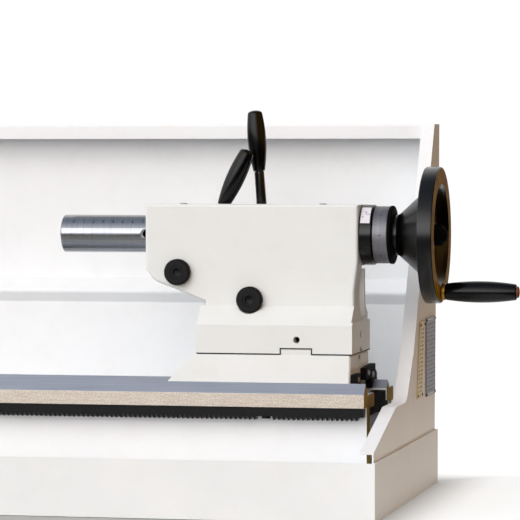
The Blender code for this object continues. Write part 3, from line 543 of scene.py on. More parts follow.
def lifted(axis, u, v, w):
    """Points of a plane at height w: X planes hold (y, z), Y planes (x, z), Z planes (x, y)."""
    return {"X": (w, u, v), "Y": (u, w, v), "Z": (u, v, w)}[axis]


def rings(along, radius, axis, centre, columns=96):
    """Rings round an axis, in millimetres: ring k stands at along[k] and its point at angle a is
    radius[k, a] from the axis, so a radius that depends on the angle gives flutes, knurls and hexagons."""
    angles = np.linspace(0, 2 * np.pi, columns, endpoint=False)
    radius = np.broadcast_to(np.asarray(radius, float).reshape(len(along), -1), (len(along), columns))
    height = np.repeat(np.asarray(along, float)[:, None], columns, 1)
    return np.stack(lifted(axis, centre[0] + radius * np.cos(angles), centre[1] + radius * np.sin(angles),
                           height), -1) * MM


def ring_piece(name, profile, axis, centre, finishes, columns=64, ring=False, turn=None, zones=None):
    """A turned piece on any axis from (along, radius) points in millimetres."""
    profile = np.asarray(profile, float)
    mesh = grid_mesh(name, rings(profile[:, 0], profile[:, 1], axis, centre, columns), close_rows=ring,
                     caps=not ring, zones=zones)
    if turn is not None:
        mesh.transform(turn)
    return show(mesh, name, *finishes)


def extruded(name, outline, axis, low, high, finish_name, smooth=32):
    """A closed outline in millimetres carried between two planes."""
    ends = [[lifted(axis, u, v, w) for u, v in outline] for w in (low, high)]
    return show(grid_mesh(name, np.array(ends) * MM), name, finish_name, smooth=smooth)


BOX_CORNERS = np.array([(x, y, z) for x in (-1, 1) for y in (-1, 1) for z in (-1, 1)], float)
BOX_FACES = np.array([(0, 1, 3, 2), (4, 6, 7, 5), (0, 4, 5, 1), (2, 3, 7, 6), (0, 2, 6, 4), (1, 5, 7, 3)])


def copies(name, points, faces, finish_name):
    """Equal pieces as one mesh. points has the shape (pieces, corners, 3), in metres, and piece n takes
    the template's faces with n times the corner count added."""
    count, corners = points.shape[:2]
    placed = np.asarray(faces)[None] + np.arange(count)[:, None, None] * corners
    mesh = bpy.data.meshes.new(name)
    mesh.from_pydata(points.reshape(-1, 3).tolist(), [], placed.reshape(count * len(faces), -1).tolist())
    face_outwards(mesh)
    return show(mesh, name, finish_name)


def boxes(centres, sizes):
    """Corners of boxes: centre + corner sign * half the size. Shape (boxes, 8, 3)."""
    centres, sizes = np.atleast_2d(np.asarray(centres, float)), np.atleast_2d(np.asarray(sizes, float))
    return centres[:, None] + BOX_CORNERS[None] * sizes[:, None] / 2


def strokes(name, points, finish_name, body):
    """Boxes as one mesh, carried by a body."""
    return on_body(copies(name, points, BOX_FACES, finish_name), body)


def on_quill_axis(points, radius):
    """Wrap flat points (x, arc, height), in millimetres, round the quill's axis. At angle a = arc / radius
    above the front, y = -(radius + height) cos a and z = (radius + height) sin a."""
    x, arc, height = np.moveaxis(np.asarray(points, float), -1, 0)
    angle, reach = arc / radius, radius + height
    return np.stack([x * MM, AXIS_Y - reach * np.cos(angle) * MM, AXIS_Z + reach * np.sin(angle) * MM], -1)


def numeral(text, size, thickness):
    """A numeral as flat points and faces in millimetres, centred. It is text turned into a mesh."""
    curve = bpy.data.curves.new("numeral", "FONT")
    curve.body, curve.size, curve.extrude = text, size, thickness / 2
    curve.align_x, curve.align_y, curve.resolution_u = "CENTER", "CENTER", 2
    holder = bpy.data.objects.new("numeral", curve)
    bpy.context.scene.collection.objects.link(holder)
    mesh = bpy.data.meshes.new_from_object(holder.evaluated_get(bpy.context.evaluated_depsgraph_get()))
    bpy.data.objects.remove(holder)
    points = np.empty(len(mesh.vertices) * 3)
    mesh.vertices.foreach_get("co", points)
    return points.reshape(-1, 3), [list(face.vertices) for face in mesh.polygons]


def numerals(name, texts, places, size, turn, wrap, finish_name):
    """Numerals at their (u, v) places on an unrolled surface, each turned by an angle, then wrapped."""
    c, s = math.cos(turn), math.sin(turn)
    points, faces = np.empty((0, 3)), []
    for text, (u, v) in zip(texts, places):
        flat, polygons = numeral(text, size, 0.16)
        faces += [[i + len(points) for i in polygon] for polygon in polygons]
        points = np.vstack([points, flat @ np.array([[c, s, 0], [-s, c, 0], [0, 0, 1]]) + (u, v, 0)])
    mesh = bpy.data.meshes.new(name)
    mesh.from_pydata(wrap(points).tolist(), [], faces)
    return show(mesh, name, finish_name)


def dome_template(radius, height, columns=12):
    """A low dome on the plane w = 0: rings of radius r cos t at height h sin t, closed below and on top."""
    t = np.array([0.0, 0.0, 0.5, 1.0, 1.5]) * np.pi / 3
    radii = np.append(radius * np.cos(t), 0)
    radii[0] = 0
    heights = np.append(height * np.sin(t), height)
    angles = np.linspace(0, 2 * np.pi, columns, endpoint=False)
    points = np.stack([radii[:, None] * np.cos(angles), radii[:, None] * np.sin(angles),
                       np.repeat(heights[:, None], columns, 1)], -1).reshape(-1, 3)
    i, j = np.meshgrid(np.arange(len(radii) - 1), np.arange(columns), indexing="ij")
    faces = np.stack([i * columns + j, i * columns + (j + 1) % columns, (i + 1) * columns + (j + 1) % columns,
                      (i + 1) * columns + j], -1).reshape(-1, 4)
    return points, faces


def domes(name, axis, centres, radius, height, finish_name):
    """Domes on a face: centres are (u, v, w) in millimetres in the plane of the axis."""
    points, faces = dome_template(radius, height)
    placed = points[None] + np.asarray(centres, float)[:, None]
    u, v, w = np.moveaxis(placed, -1, 0)
    return copies(name, np.stack(lifted(axis, u, v, w), -1) * MM, faces, finish_name)


print("mark helpers ready")

# %% [markdown]
# ## The handwheel
# The wheel is one turned casting: sleeve, neck, cone and a deep, square rim. Its front face was faced off
# and lacquered ochre, and the dish inside is black. A turned profile with a finish for each stretch
# describes all of it.

# %% Handwheel
axis_centre = (AXIS_Y / MM, AXIS_Z / MM)
FACE_MM, DISH_R = 77.7, 49.5


def at(x_mm, r_mm):
    """A profile point: millimetres right of the body's face, and radius in millimetres."""
    return (BODY_RIGHT / MM + x_mm, r_mm)


rim = WHEEL_R / MM
sleeve = (WHEEL_LOW.x - BODY_RIGHT) / MM
back = rounded([at(sleeve, 8.3), at(sleeve, 20), at(36.5, 20), at(63, 44), at(63, rim), at(FACE_MM, rim),
                at(FACE_MM, DISH_R)], 1.2, 5)
dish = rounded([at(FACE_MM, DISH_R), at(73.6, 47.5), at(67.0, 40.5), at(64.8, 34), at(64.5, 20.5),
                at(66, 17.5), at(70, 16.6), at(70, 8.3)], 1.8, 5)
wheel_profile = np.vstack([back, dish[1:]])
on_face = (wheel_profile[:, 0] > at(FACE_MM - 0.1, 0)[0]) & (wheel_profile[:, 1] < rim - 1)
face_start, face_end = int(np.argmax(on_face)), len(back) - 1
wheel_zones = [1 if face_start <= k < face_end else 0 for k in range(len(wheel_profile))]
wheel = ring_piece("turned_handwheel", wheel_profile, "X", axis_centre,
                   ["gloss_black_enamel", "ochre_lacquered_rim"], 128, ring=True, zones=wheel_zones)
on_body(wheel, "feed_screw", "handwheel")
print("wheel profile points:", len(wheel_profile))

# %% [markdown]
# The wheel's nut is black and capped by a dome, so the screw's end stays hidden inside.

# %% Cap nut
nut_right, screw_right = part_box("wheel_nut")[1].x / MM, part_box("feed_screw")[1].x / MM
cap = domes("wheel_cap_nut_dome", "X", [(AXIS_Y / MM, AXIS_Z / MM, nut_right)], 8.2,
            1.6 * (screw_right - nut_right) + 1.5, "matt_black_lacquer")
on_body(cap, "feed_screw")
print("cap nut dome from x", round(nut_right, 1), "mm")

# %% [markdown]
# ## The quill and its scale
# The quill slides out of the barrel and carries a millimetre scale, so its surface is ground bright with
# marks running round it. Graduations are cut and filled with black: short for each millimetre, longer for
# five, longest with a numeral for ten. The strip is laid out flat and then wrapped.

# %% Quill
refined("quill", "ground_quill", "quill", "bright_steel", "ground_quill_steel", bevel=0.25)
QUILL_MM = QUILL_R / MM
scale_zero = QUILL_LOW.x / MM + 13.0
millimetres = np.arange(0, 101)
tick_length = np.where(millimetres % 10 == 0, 4.4, np.where(millimetres % 5 == 0, 3.4, 2.4))
TICK_TOP = math.radians(67) * QUILL_MM
SLICES = 4
slice_number = np.tile(np.arange(SLICES), len(millimetres))
length = np.repeat(tick_length, SLICES)
tick_centres = np.stack([np.repeat(scale_zero + millimetres, SLICES),
                         TICK_TOP - length * (slice_number + 0.5) / SLICES, 0 * length], -1)
tick_sizes = np.stack([0 * length + 0.34, length / SLICES + 0.02, 0 * length + 0.1], -1)
strokes("quill_graduations", on_quill_axis(boxes(tick_centres, tick_sizes), QUILL_MM), "black_scale_filler",
      "quill")
tens = range(0, 11)
quill_numbers = numerals("quill_numerals", [str(n) for n in tens],
                         [(scale_zero + 10 * n, math.radians(40) * QUILL_MM) for n in tens], 4.6, 0.0,
                         lambda points: on_quill_axis(points, QUILL_MM), "black_scale_filler")
on_body(quill_numbers, "quill")
print("graduations:", len(millimetres), "from x", round(scale_zero, 1), "mm")

# %% [markdown]
# ## The dial and its flange
# One turn of the wheel moves the quill four millimetres, so the dial has eighty divisions of a twentieth
# of a millimetre. It is satin chromed against glare and turns on the sleeve to be set to zero, beside
# the white mark plate on the black flange.

# %% Dial, lock ring and flange
dial_low, dial_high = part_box("dial")
DIAL_REACH = 1.8                   # the turned dial runs this far past its node, into the lock ring
dial_left, dial_right = dial_low.x / MM, dial_high.x / MM + DIAL_REACH
DIAL_MM = (dial_high.z - dial_low.z) / 2 / MM
SLEEVE_BORE = 20.3
dial_profile = rounded([(dial_left, SLEEVE_BORE), (dial_left, DIAL_MM), (dial_right - 2, DIAL_MM),
                        (dial_right, DIAL_MM - 1.4), (dial_right, SLEEVE_BORE)], 0.5, 4)
dial = ring_piece("chromed_dial", dial_profile, "X", axis_centre, ["satin_chrome"], 128, ring=True)
on_body(dial, "dial", "dial")
division = np.arange(80)
cut_length = np.where(division % 10 == 0, 4.6, np.where(division % 5 == 0, 3.6, 2.4))
around = 2 * math.pi * DIAL_MM * division / len(division)
cuts = boxes(np.stack([dial_left + 0.5 + cut_length / 2, around, 0 * around], -1),
             np.stack([cut_length, 0 * around + 0.2, 0 * around + 0.08], -1))
strokes("dial_graduations", on_quill_axis(cuts, DIAL_MM), "black_scale_filler", "dial")
turns = range(8)
dial_numbers = numerals("dial_numerals", [str(5 * n) for n in turns],
                        [(dial_left + 7.6, 2 * math.pi * DIAL_MM * n / 8) for n in turns], 3.2, math.pi / 2,
                        lambda points: on_quill_axis(points, DIAL_MM), "black_scale_filler")
on_body(dial_numbers, "dial")
ring_low, ring_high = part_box("dial_lock_ring")
left, right, outer = ring_low.x / MM, ring_high.x / MM, (ring_high.z - ring_low.z) / 2 / MM
ring_profile = rounded([(left, SLEEVE_BORE), (left, outer), (right - 0.8, outer), (right, outer - 1.4),
                        (right, SLEEVE_BORE)], 0.6, 4)
lock_ring = ring_piece("dial_lock_ring_turned", ring_profile, "X", axis_centre, ["matt_black_lacquer"], 96,
                       ring=True)
on_body(lock_ring, "feed_screw", "dial_lock_ring")
refined("bearing_flange", "enamelled_flange", "tailstock_body", "black_enamel", "gloss_black_enamel",
        bevel=0.4)
refined("zero_plate", "mark_plate", "tailstock_body", "mark_plate_print", "white_plate_enamel", bevel=0.15)
FLANGE_MM = (FLANGE_HIGH.z - FLANGE_LOW.z) / 2 / MM
plate_low, plate_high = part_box("zero_plate")
plate_left, plate_right = plate_low.x / MM, plate_high.x / MM
PLATE_MM = FLANGE_MM + 1.02
plate_arc = math.radians(42.5) * PLATE_MM
plate_boxes = boxes([(plate_right - 2.6, plate_arc, 0), (plate_right - 4.4, plate_arc + 2.6, 0),
                     (plate_left + 2.2, plate_arc - 3.4, 0)],
                    [(4.6, 0.5, 0.1), (1.3, 1.3, 0.1), (1.2, 0.8, 0.1)])
strokes("plate_marks", on_quill_axis(plate_boxes, PLATE_MM), "dark_print", "tailstock_body")
print("dial divisions:", len(division))

# %% [markdown]
# ## Knurled heads of the two cross shafts
# Knurling presses crossed spiral grooves into a head so that fingers grip it. With n grooves each way, the
# height at angle a and distance y is |sin(n a / 2 + k y)| times |sin(n a / 2 - k y)|, which leaves
# diamonds standing. The hexagon socket is the same grid: its radius is the apothem over the cosine of
# the angle from the middle of the nearest flat.

# %% Knurled heads
HEAD_R, KNURLS, KNURL_COLUMNS, KNURL_DEPTH = 13.0, 44, 264, 0.32


def knurled_shaft(name, node, shaft_radius, far, socket_apothem, body_name):
    """Cap head in front of the casting with its shaft running back to far, as one grid."""
    low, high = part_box(node)
    centre = ((low.x + high.x) / 2 / MM, high.z / MM - HEAD_R)
    front = low.y / MM
    seat = front + 7.5
    angles = np.linspace(0, 2 * np.pi, KNURL_COLUMNS, endpoint=False)
    hexagon = socket_apothem / np.cos(np.mod(angles + np.pi / 6, np.pi / 3) - np.pi / 6)
    rows = np.linspace(seat - 0.7, front + 1.0, 17)
    spiral = np.pi / 2.05 * rows[:, None]
    diamonds = np.abs(np.sin(KNURLS * angles / 2 + spiral)) * np.abs(np.sin(KNURLS * angles / 2 - spiral))
    flat = np.ones(KNURL_COLUMNS)
    along = [far, seat, seat, seat - 0.4, *rows, front + 0.5, front, front, front + 0.5, front + 0.5,
             front + 4.0, front + 4.6]
    radius = [flat * shaft_radius, flat * shaft_radius, flat * (HEAD_R - 1.0), flat * (HEAD_R - 0.5),
              *(HEAD_R - KNURL_DEPTH + KNURL_DEPTH * diamonds), flat * (HEAD_R - 0.9), flat * (HEAD_R - 1.7),
              flat * (socket_apothem + 2.9), flat * (socket_apothem + 2.3), hexagon, hexagon, flat * 0.5]
    mesh = grid_mesh(name, rings(along, np.array(radius), "Y", centre, KNURL_COLUMNS))
    head = show(mesh, name, "chemical_black_steel", smooth=24)
    return on_body(head, body_name, node)


knurled_shaft("quill_lock_knurled_stud", "quill_lock_stud", 7.0, 48.0, 4.0, "quill_lock")
knurled_shaft("bed_lock_knurled_shaft", "eccentric_shaft", 10.0, -8.4, 4.0, "bed_lock")
shaft_centre = (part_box("eccentric_shaft")[0].x / MM + HEAD_R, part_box("eccentric_shaft")[1].z / MM - HEAD_R)
ECCENTRICITY = 1.0
rear_profile = rounded([(8.4, 10), (44, 10), (44, 8), (71.2, 8), (72, 7.2)], 0.4, 3)
rear_shaft = ring_piece("bed_lock_rear_shaft", rear_profile, "Y", shaft_centre, ["chemical_black_steel"], 48)
on_body(rear_shaft, "bed_lock")
crank_throw = ring_piece("bed_lock_eccentric", [(-8.6, 8), (8.6, 8)], "Y",
                         (shaft_centre[0], shaft_centre[1] - ECCENTRICITY), ["turned_steel"], 48)
on_body(crank_throw, "bed_lock")
print("knurled heads turned")

# %% [markdown]
# ## Levers
# Each lever is a hub on its shaft, a tapered rod and a pressed grip. The grip's radius along its length t is
# a straight taper plus a parabola that peaks in the middle, with a quarter ellipse at the end. All are
# made upright and then leaned by one matrix.

# %% Levers
GRIP_LENGTH = 61.0


def barrel(t, start, middle_radius, end):
    """Radius of a barrel: start + (end - start) t + (middle - mean) 4 t (1 - t)."""
    return start + (end - start) * t + (middle_radius - (start + end) / 2) * 4 * t * (1 - t)


def grip_profile(low, length, radii, mouth):
    """A grip's outline from its mouth to its rounded end: the barrel, then r sqrt(1 - s^2) over the end."""
    t = np.linspace(0, 1, 28)
    body_length = length - 3.2
    shape = barrel(t, *radii)
    s = np.sin(np.linspace(0, np.pi / 2, 9))[1:]
    cap = radii[2] * np.sqrt(np.clip(1 - (s * 0.985) ** 2, 0, 1))
    start = [(low, mouth), (low, radii[0] - 0.7), (low + 0.5, radii[0] - 0.1)]
    return np.vstack([start, np.stack([low + 1.0 + t * (body_length - 1.0), shape], 1),
                      np.stack([low + body_length + s * 3.2, cap], 1)])


def lever(prefix, pivot, plane, lean, length, hub):
    """Hub, rod and grip of one lever. pivot is (x, z) and plane is y, in millimetres."""
    y_low, y_high, hub_r, bore = hub
    hub_profile = rounded([(y_low, bore), (y_low, hub_r), (y_high, hub_r), (y_high, bore)], 1.4, 5)
    hub_piece = ring_piece(prefix + "_turned_hub", hub_profile, "Y", pivot, ["gloss_black_enamel"], 64,
                           ring=True)
    place_at = Matrix.Translation(Vector((pivot[0], plane, pivot[1])) * MM)
    turn = place_at @ Matrix.Rotation(math.radians(lean), 4, "Y")
    neck = length - GRIP_LENGTH
    rod_profile = rounded([(bore + 3, 4.2), (hub_r - 1.5, 4.2), (hub_r - 1.5, 5.6), (neck - 3.0, 4.9),
                           (neck - 0.3, 4.9), (neck - 0.3, 3.8), (neck + 22, 3.8)], 0.4, 3)
    rod = ring_piece(prefix + "_tapered_rod", rod_profile, "Z", (0, 0), ["gloss_black_enamel"], 32, turn=turn)
    grip = ring_piece(prefix + "_pressed_grip", grip_profile(neck, GRIP_LENGTH, (6.0, 9.25, 7.3), 4.1), "Z",
                      (0, 0), ["polished_phenolic"], 64, turn=turn)
    for piece, node, slot in ((hub_piece, "_hub", "black_enamel"), (rod, "_rod", "black_enamel"),
                              (grip, "_grip", "black_grip_plastic")):
        on_body(piece, prefix, prefix + node)


def hub_middle(node):
    """(x, z) of a hub's axis in millimetres."""
    centre = middle(node)
    return (centre.x / MM, centre.z / MM)


lever("quill_lock", hub_middle("quill_lock_hub"), 38.0, 25.0, 131.9, (30.3, 45.7, 13.0, 7.3))
lever("bed_lock", hub_middle("bed_lock_hub"), 58.0, -4.3, 186.3, (44.3, 71.5, 16.0, 8.3))
print("levers placed")

# %% [markdown]
# ## The crank
# A brass shoulder pin is screwed into the rim. The grip spins on it, held by a riveted end that is
# sealed with brown wax. The grip is longer and slimmer than the lever grips.

# %% Crank
crank_centre = (middle("crank_grip").y / MM, middle("crank_grip").z / MM)
grip_low, grip_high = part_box("crank_grip")[0].x / MM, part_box("crank_grip")[1].x / MM
t = np.linspace(0, 1, 36)
crank_shape = np.stack([grip_low + 0.8 + t * (grip_high - grip_low - 1.6), barrel(t, 8.1, 10.5, 7.8)], 1)
crank_profile = np.vstack([[(grip_low, 4.4), (grip_low, 7.4)], crank_shape,
                           [(grip_high, 7.0), (grip_high, 4.4)]])
crank_grip = ring_piece("crank_pressed_grip", crank_profile, "X", crank_centre, ["polished_phenolic"], 64,
                        ring=True)
on_body(crank_grip, "crank_grip", "crank_grip")
pin_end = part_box("crank_pin")[1].x / MM
face = grip_low - 0.4
collar = rounded([(face - 3.5, 7.0), (face - 3.5, 8.3), (face, 8.3), (face, 4.0)], 0.6, 4)
pin_profile = [(face - 14.5, 3.4), (face - 14.5, 4.0), (face - 3.5, 4.0), *collar, (pin_end - 2.6, 4.0),
               (pin_end - 2.6, 5.8), (pin_end - 1.4, 5.6), (pin_end - 0.5, 4.6), (pin_end, 2.6)]
pin_zones = [1 if x > pin_end - 2.7 else 0 for x, _ in pin_profile[:-1]]
pin = ring_piece("crank_shoulder_pin", pin_profile, "X", crank_centre,
                 ["turned_brass", "brown_sealing_wax"], 48,
                 zones=pin_zones)
on_body(pin, "feed_screw", "crank_pin")
print("crank grip", round(grip_high - grip_low, 1), "mm long")

# %% [markdown]
# ## The joint between body and base
# The two castings are clamped face to face. Oil and dust collect in the joint and draw it as a black line,
# with the square notch of the cross tongue. The line is a thin ribbon: a path, thickened upwards so that it
# lies wholly on the body, and a few hundredths proud of the paint. A scale for the set-over is cut on the
# end, above and below the joint, beside a flat black oval that stands for a screw hole: painted shade in
# place of the hole's depth.

# %% Joint line and set-over scale
joint = BODY_LOW.z / MM + 0.05
foot_left, foot_right = 74.0, 228.0
notch_left, notch_right, notch_top = 157.85, 187.75, joint + 5.5
LINE = 1.1
front_path = [(foot_left, joint), (notch_left, joint), (notch_left, notch_top), (notch_right, notch_top),
              (notch_right, joint), (foot_right, joint)]
front_line = extruded("joint_line_front", offset_profile(front_path, LINE), "Y", -50.07, -49.9,
                      "black_scale_filler")
on_body(front_line, "tailstock_body")
strokes("joint_line_side", boxes([(foot_right, 1.0, joint + LINE / 2)], [(0.14, 102.0, LINE)]) * MM,
      "black_scale_filler", "tailstock_body")
step = np.arange(-5, 6)
mark_height = np.where(step % 5 == 0, 6.0, 3.6)
base_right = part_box("base_casting")[1].x / MM
for part, face_x, mark_z in (("body", foot_right, joint + 1.4 + mark_height / 2),
                             ("base", base_right, joint - 2.4 - mark_height / 2)):
    bars = boxes(np.stack([0 * step + face_x, step - 1.0, mark_z], -1),
                 np.stack([0 * step + 0.12, 0 * step + 0.3, mark_height], -1))
    strokes("setover_marks_" + part, bars * MM, "black_scale_filler", "tailstock_" + part)
# a flat black oval: painted shade standing in for the depth of a screw hole
oval = [(-1.0 + 1.5 * math.cos(a), 163.0 + 3.6 * math.sin(a)) for a in np.linspace(0, 2 * math.pi, 25)[:-1]]
hole_shade = extruded("hole_painted_shade", oval, "X", foot_right - 0.5, foot_right + 0.06, "black_scale_filler")
on_body(hole_shade, "tailstock_body")
print("joint line at z", round(joint, 2))

# %% [markdown]
# ## Plates on the end wing
# Machines carry an information plate and a chart. These are blank of any words: rows of short bars stand
# for a table and a column of dots for a chart. Their widths come from a fixed wave, so the rows look
# uneven in the way that printed rows do.

# %% Plates
refined("data_plate", "information_plate", "bed", "data_plate_print", "blue_grey_printed_plate", bevel=0.15)
refined("chart_plate", "chart_plate_sheet", "bed", "chart_plate_print", "cream_printed_plate", bevel=0.15)
(_, y_low, z_low), (x_face, y_high, z_high) = [tuple(v / MM for v in corner)
                                               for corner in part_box("data_plate")]
column, row = [grid.ravel() for grid in np.meshgrid(np.arange(5), np.arange(17))]
bar_width = 4.2 + 3.4 * np.sin(1.7 * row + 2.3 * column) ** 2
bar_y = y_low + 7 + 11.4 * column + bar_width / 2 - 2
bars = boxes(np.stack([0 * row + x_face, bar_y, z_low + 6 + 4.2 * row], -1),
             np.stack([0 * row + 0.08, bar_width, 1.5 + 0.5 * (row % 4 == 0)], -1))
strokes("information_rows", bars * MM, "dark_print", "bed")
edge = boxes([(x_face, (y_low + y_high) / 2, z_high - 2), (x_face, (y_low + y_high) / 2, z_low + 2),
              (x_face, y_low + 2, (z_low + z_high) / 2), (x_face, y_high - 2, (z_low + z_high) / 2)],
             [(0.06, 57, 0.6), (0.06, 57, 0.6), (0.06, 0.6, 76), (0.06, 0.6, 76)])
strokes("information_border", edge * MM, "white_plate_enamel", "bed")
chart_low, chart_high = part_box("chart_plate")
rung = np.arange(16)
slant = 18.0 / (chart_high.z - chart_low.z) * MM
dot_z = chart_low.z / MM + 7 + 4.1 * rung
shift = (dot_z - chart_low.z / MM) * slant
dots = boxes(np.concatenate([np.stack([0 * rung + x_face, chart_low.y / MM + 6 + shift, dot_z], -1),
                             np.stack([0 * rung + x_face, chart_low.y / MM + 19 + shift, dot_z], -1)]),
             np.concatenate([np.stack([0 * rung + 0.08, 0 * rung + 3.0, 0 * rung + 2.0], -1),
                             np.stack([0 * rung + 0.08, 9 + 4 * np.sin(2.1 * rung) ** 2, 0 * rung + 1.0], -1)]))
strokes("chart_rows", dots * MM, "dark_print", "bed")
corners = [(y, z, x_face) for y in (y_low + 2.2, y_high - 2.2) for z in (z_low + 2.2, z_high - 2.2)]
corners += [(88, 168, x_face), (114, 168, x_face), (71, 98, x_face), (97, 98, x_face)]
rivets = domes("plate_rivets", "X", corners, 1.5, 0.9, "chemical_black_steel")
on_body(rivets, "bed")
print("plate rows:", len(row), "rivets:", len(corners))

# %% [markdown]
# ## Wipers and rack
# Rubber wipers on the base's end push chips off the ways, each behind a small screw. Under the front rail
# runs the rack: its teeth have straight flanks 20 degrees from upright, and their pitch is pi times the
# module of 1.5 mm. The outline of half a metre of teeth is one repeated array of four points.

# %% Wipers and rack
for side in ("front", "rear"):
    refined("way_wiper_" + side, side + "_way_wiper", "tailstock_base", "wiper_rubber", "oil_proof_rubber")
wiper_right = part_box("way_wiper_rear")[1].x / MM
wiper_screws = domes("wiper_screws", "X", [(39.0, 121.5, wiper_right), (14.0, 124.5, wiper_right)], 3.0, 1.8,
                     "turned_steel")
on_body(wiper_screws, "tailstock_base")
front_screw = domes("front_wiper_screw", "X", [(-36.0, 121.0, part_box("way_wiper_front")[1].x / MM)], 2.6,
                    1.6, "turned_steel")
on_body(front_screw, "tailstock_base")

rack_low, rack_high = [np.array(corner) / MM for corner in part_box("feed_rack")]
PITCH, TOOTH = math.pi * 1.5, 3.4
ROOT = rack_low[2] + TOOTH


def tooth_run(start, end):
    """Outline points of the teeth between two places: root, tip, tip, root for each pitch."""
    count = int((end - start) / PITCH)
    flank = TOOTH * math.tan(math.radians(20))
    tip = PITCH / 2 - flank
    across = np.array([0, flank, flank + tip, 2 * flank + tip])
    x = start + PITCH * np.arange(count)[:, None] + across
    z = np.broadcast_to([ROOT, rack_low[2], rack_low[2], ROOT], x.shape)
    return np.stack([x, z], -1).reshape(-1, 2)


screw_x = sorted(middle(node).x / MM for node in ("rack_screw_1", "rack_screw_2"))
CLEAR = 7.0                        # no teeth this near to a rack screw
runs = [(rack_low[0] + 1, screw_x[0] - CLEAR), (screw_x[0] + CLEAR, screw_x[1] - CLEAR),
        (screw_x[1] + CLEAR, rack_high[0])]
teeth = np.vstack([tooth_run(*run) for run in runs])
rack_outline = np.vstack([[(rack_low[0], rack_high[2]), (rack_low[0], ROOT)], teeth,
                          [(rack_high[0], ROOT), (rack_high[0], rack_high[2])]])
rack = extruded("toothed_rack", rack_outline, "Y", rack_low[1], rack_high[1], "chemical_black_steel")
on_body(rack, "bed", "feed_rack")
print("rack teeth:", len(teeth) // 4)

# %% [markdown]
# ## Floor and light
# The floor is a plain pale sheet, a little darker in front. To the right and behind it glows faintly, so that
# it meets the white sky without an edge. Bright steel needs something dark to reflect: a quill in a white
# room would look like paper. So the sky in front is brightest at the horizon, dims overhead and is dark below
# it, the sky behind is white, and the right is tan. Two soft lights model the castings. They are left out of
# reflections, so that no steel shows a square lamp.

# %% Studio
FLOOR_REACH, FLOOR_RIGHT = 2.4, 0.42
corners = [[(x, y, -0.0005) for x in (-FLOOR_REACH, FLOOR_RIGHT)] for y in (-FLOOR_REACH, FLOOR_REACH)]
made, tree, shader = new_material("graded_backdrop")
where = add(tree, "ShaderNodeSeparateXYZ", Vector=add(tree, "ShaderNodeTexCoord").outputs["Object"])
pale = smooth_rise(tree, where.outputs["Y"], -1.1, -0.2)
tree.links.new(ramp(tree, pale, 0.0, 1.0, linear("#6F6B67"), linear("#B4B4B2")), shader.inputs["Base Color"])
glow = arithmetic(tree, "MAXIMUM", smooth_rise(tree, where.outputs["X"], 0.24, 0.34, 0.62),
                  smooth_rise(tree, where.outputs["Y"], 0.16, 0.30, 0.72))
tree.links.new(arithmetic(tree, "MULTIPLY", pale, glow), shader.inputs["Emission Strength"])
shader.inputs["Emission Color"].default_value = linear("#FFFFFF")
shader.inputs["Roughness"].default_value = 0.9
shader.inputs["Specular IOR Level"].default_value = 0.1
MATERIALS["graded_backdrop"] = made
floor = show(grid_mesh("studio_floor", np.array(corners), close_columns=False, caps=False), "studio_floor",
             "graded_backdrop")


def area_light(name, place_at, towards, width, height, watts, colour):
    """A soft rectangular light aimed at a point."""
    data = bpy.data.lights.new(name, "AREA")
    data.shape = "RECTANGLE"
    data.size, data.size_y = width, height
    data.energy = watts
    data.color = linear(colour)[:3]
    light = bpy.data.objects.new(name, data)
    bpy.context.scene.collection.objects.link(light)
    light.location = place_at
    light.visible_glossy = False
    light.rotation_euler = (Vector(towards) - Vector(place_at)).to_track_quat("-Z", "Y").to_euler()


target = (0.0, 0.0, 0.2)
area_light("key_light", (-0.4, -2.5, 2.9), target, 2.2, 1.6, 34, "#FFFEFD")
area_light("top_light", (0.1, 0.3, 2.6), target, 1.8, 1.8, 9, "#F4F8FF")


def sky(tree, height, *bands):
    """Colour of the sky by height: a ramp through (place, colour) bands."""
    node = add(tree, "ShaderNodeValToRGB", Fac=height)
    stops = node.color_ramp.elements
    stops[0].position, stops[1].position = bands[0][0], bands[-1][0]
    stops[0].color, stops[1].color = linear(bands[0][1]), linear(bands[-1][1])
    for position, colour in bands[1:-1]:
        stops.new(position).color = linear(colour)
    return node.outputs["Color"]


world = bpy.data.worlds.new("studio_world")
world.use_nodes = True
tree = world.node_tree
direction = add(tree, "ShaderNodeSeparateXYZ", Vector=add(tree, "ShaderNodeTexCoord").outputs["Generated"])
sideways = add(tree, "ShaderNodeMapRange", Value=direction.outputs["X"], From_Min=0.0,
               From_Max=0.5).outputs["Result"]
upward = add(tree, "ShaderNodeMapRange", Value=direction.outputs["Z"], From_Min=-1,
             From_Max=1).outputs["Result"]
rearward = smooth_rise(tree, direction.outputs["Y"], 0.0, 0.5)
front_room = sky(tree, upward, (0.0, "#4A4643"), (0.495, "#35302C"), (0.52, "#FFFFFF"), (0.74, "#FFFFFF"),
                 (0.88, "#DDE1E8"), (0.96, "#A4AEBE"), (1.0, "#8C97A8"))
rear_room = sky(tree, upward, (0.0, "#8A8784"), (0.38, "#8A8784"), (0.42, "#FFFFFF"), (0.85, "#FFFFFF"),
                (1.0, "#4E5868"))
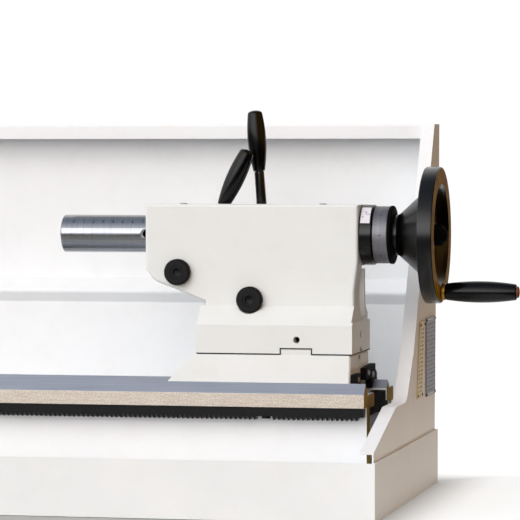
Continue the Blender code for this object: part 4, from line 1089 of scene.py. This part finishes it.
near_horizon = sky(tree, upward, (0.51, "#000000"), (0.53, "#FFFFFF"), (0.66, "#FFFFFF"), (0.86, "#000000"))
bright_front = mix(tree, 1.0, front_room, mix(tree, 1.0, front_room, near_horizon, "MULTIPLY"), "ADD")
bright_front = mix(tree, 1.0, bright_front, near_horizon, "ADD")
both = mix(tree, rearward, bright_front, rear_room)
leftward = add(tree, "ShaderNodeMapRange", Value=direction.outputs["X"], From_Min=-0.95, From_Max=-0.6,
               To_Min=0.45).outputs["Result"]
side = ramp(tree, sideways, 0.0, 1.0, linear("#FFFFFF"), linear("#7A5A2C"))
both = mix(tree, 1.0, both, side, "MULTIPLY")
tree.links.new(mix(tree, 1.0, both, leftward, "MULTIPLY"), tree.nodes["Background"].inputs["Color"])
tree.nodes["Background"].inputs["Strength"].default_value = 1.03
bpy.context.scene.world = world
bpy.context.scene.view_settings.view_transform = "Standard"

# %% [markdown]
# ## Everything else takes its finish
# Pieces that already have their final shape in the frame only need a finish. It follows from the slot,
# and four nodes have their own.

# %% Finishes for the remaining nodes
SLOT_FINISH = {
    "tray_enamel": "tray_pale_enamel", "guard_enamel": "light_grey_powder_coat",
    "data_plate_print": "blue_grey_printed_plate", "chart_plate_print": "cream_printed_plate",
    "ground_way_iron": "ground_way_steel", "bright_steel": "turned_steel",
    "black_oxide_steel": "chemical_black_steel", "casting_enamel": "warm_white_machine_enamel",
    "wiper_rubber": "oil_proof_rubber", "bright_brass": "turned_brass", "black_enamel": "gloss_black_enamel",
    "mark_plate_print": "white_plate_enamel", "satin_chrome": "satin_chrome",
    "black_grip_plastic": "polished_phenolic", "clamp_iron": "cast_clamp_iron",
}
NODE_FINISH = {
    "oiler_1": "turned_steel", "oiler_2": "turned_steel",
    "wheel_nut": "matt_black_lacquer", "bed_end_stop": "matt_black_lacquer",
}
for row in frame["record"]["subparts"]:
    node = frame["nodes"][row["node"]]
    node.data.materials.clear()
    name = NODE_FINISH.get(row["node"], SLOT_FINISH[row["material_slot"]])
    node.data.materials.append(finish(name))
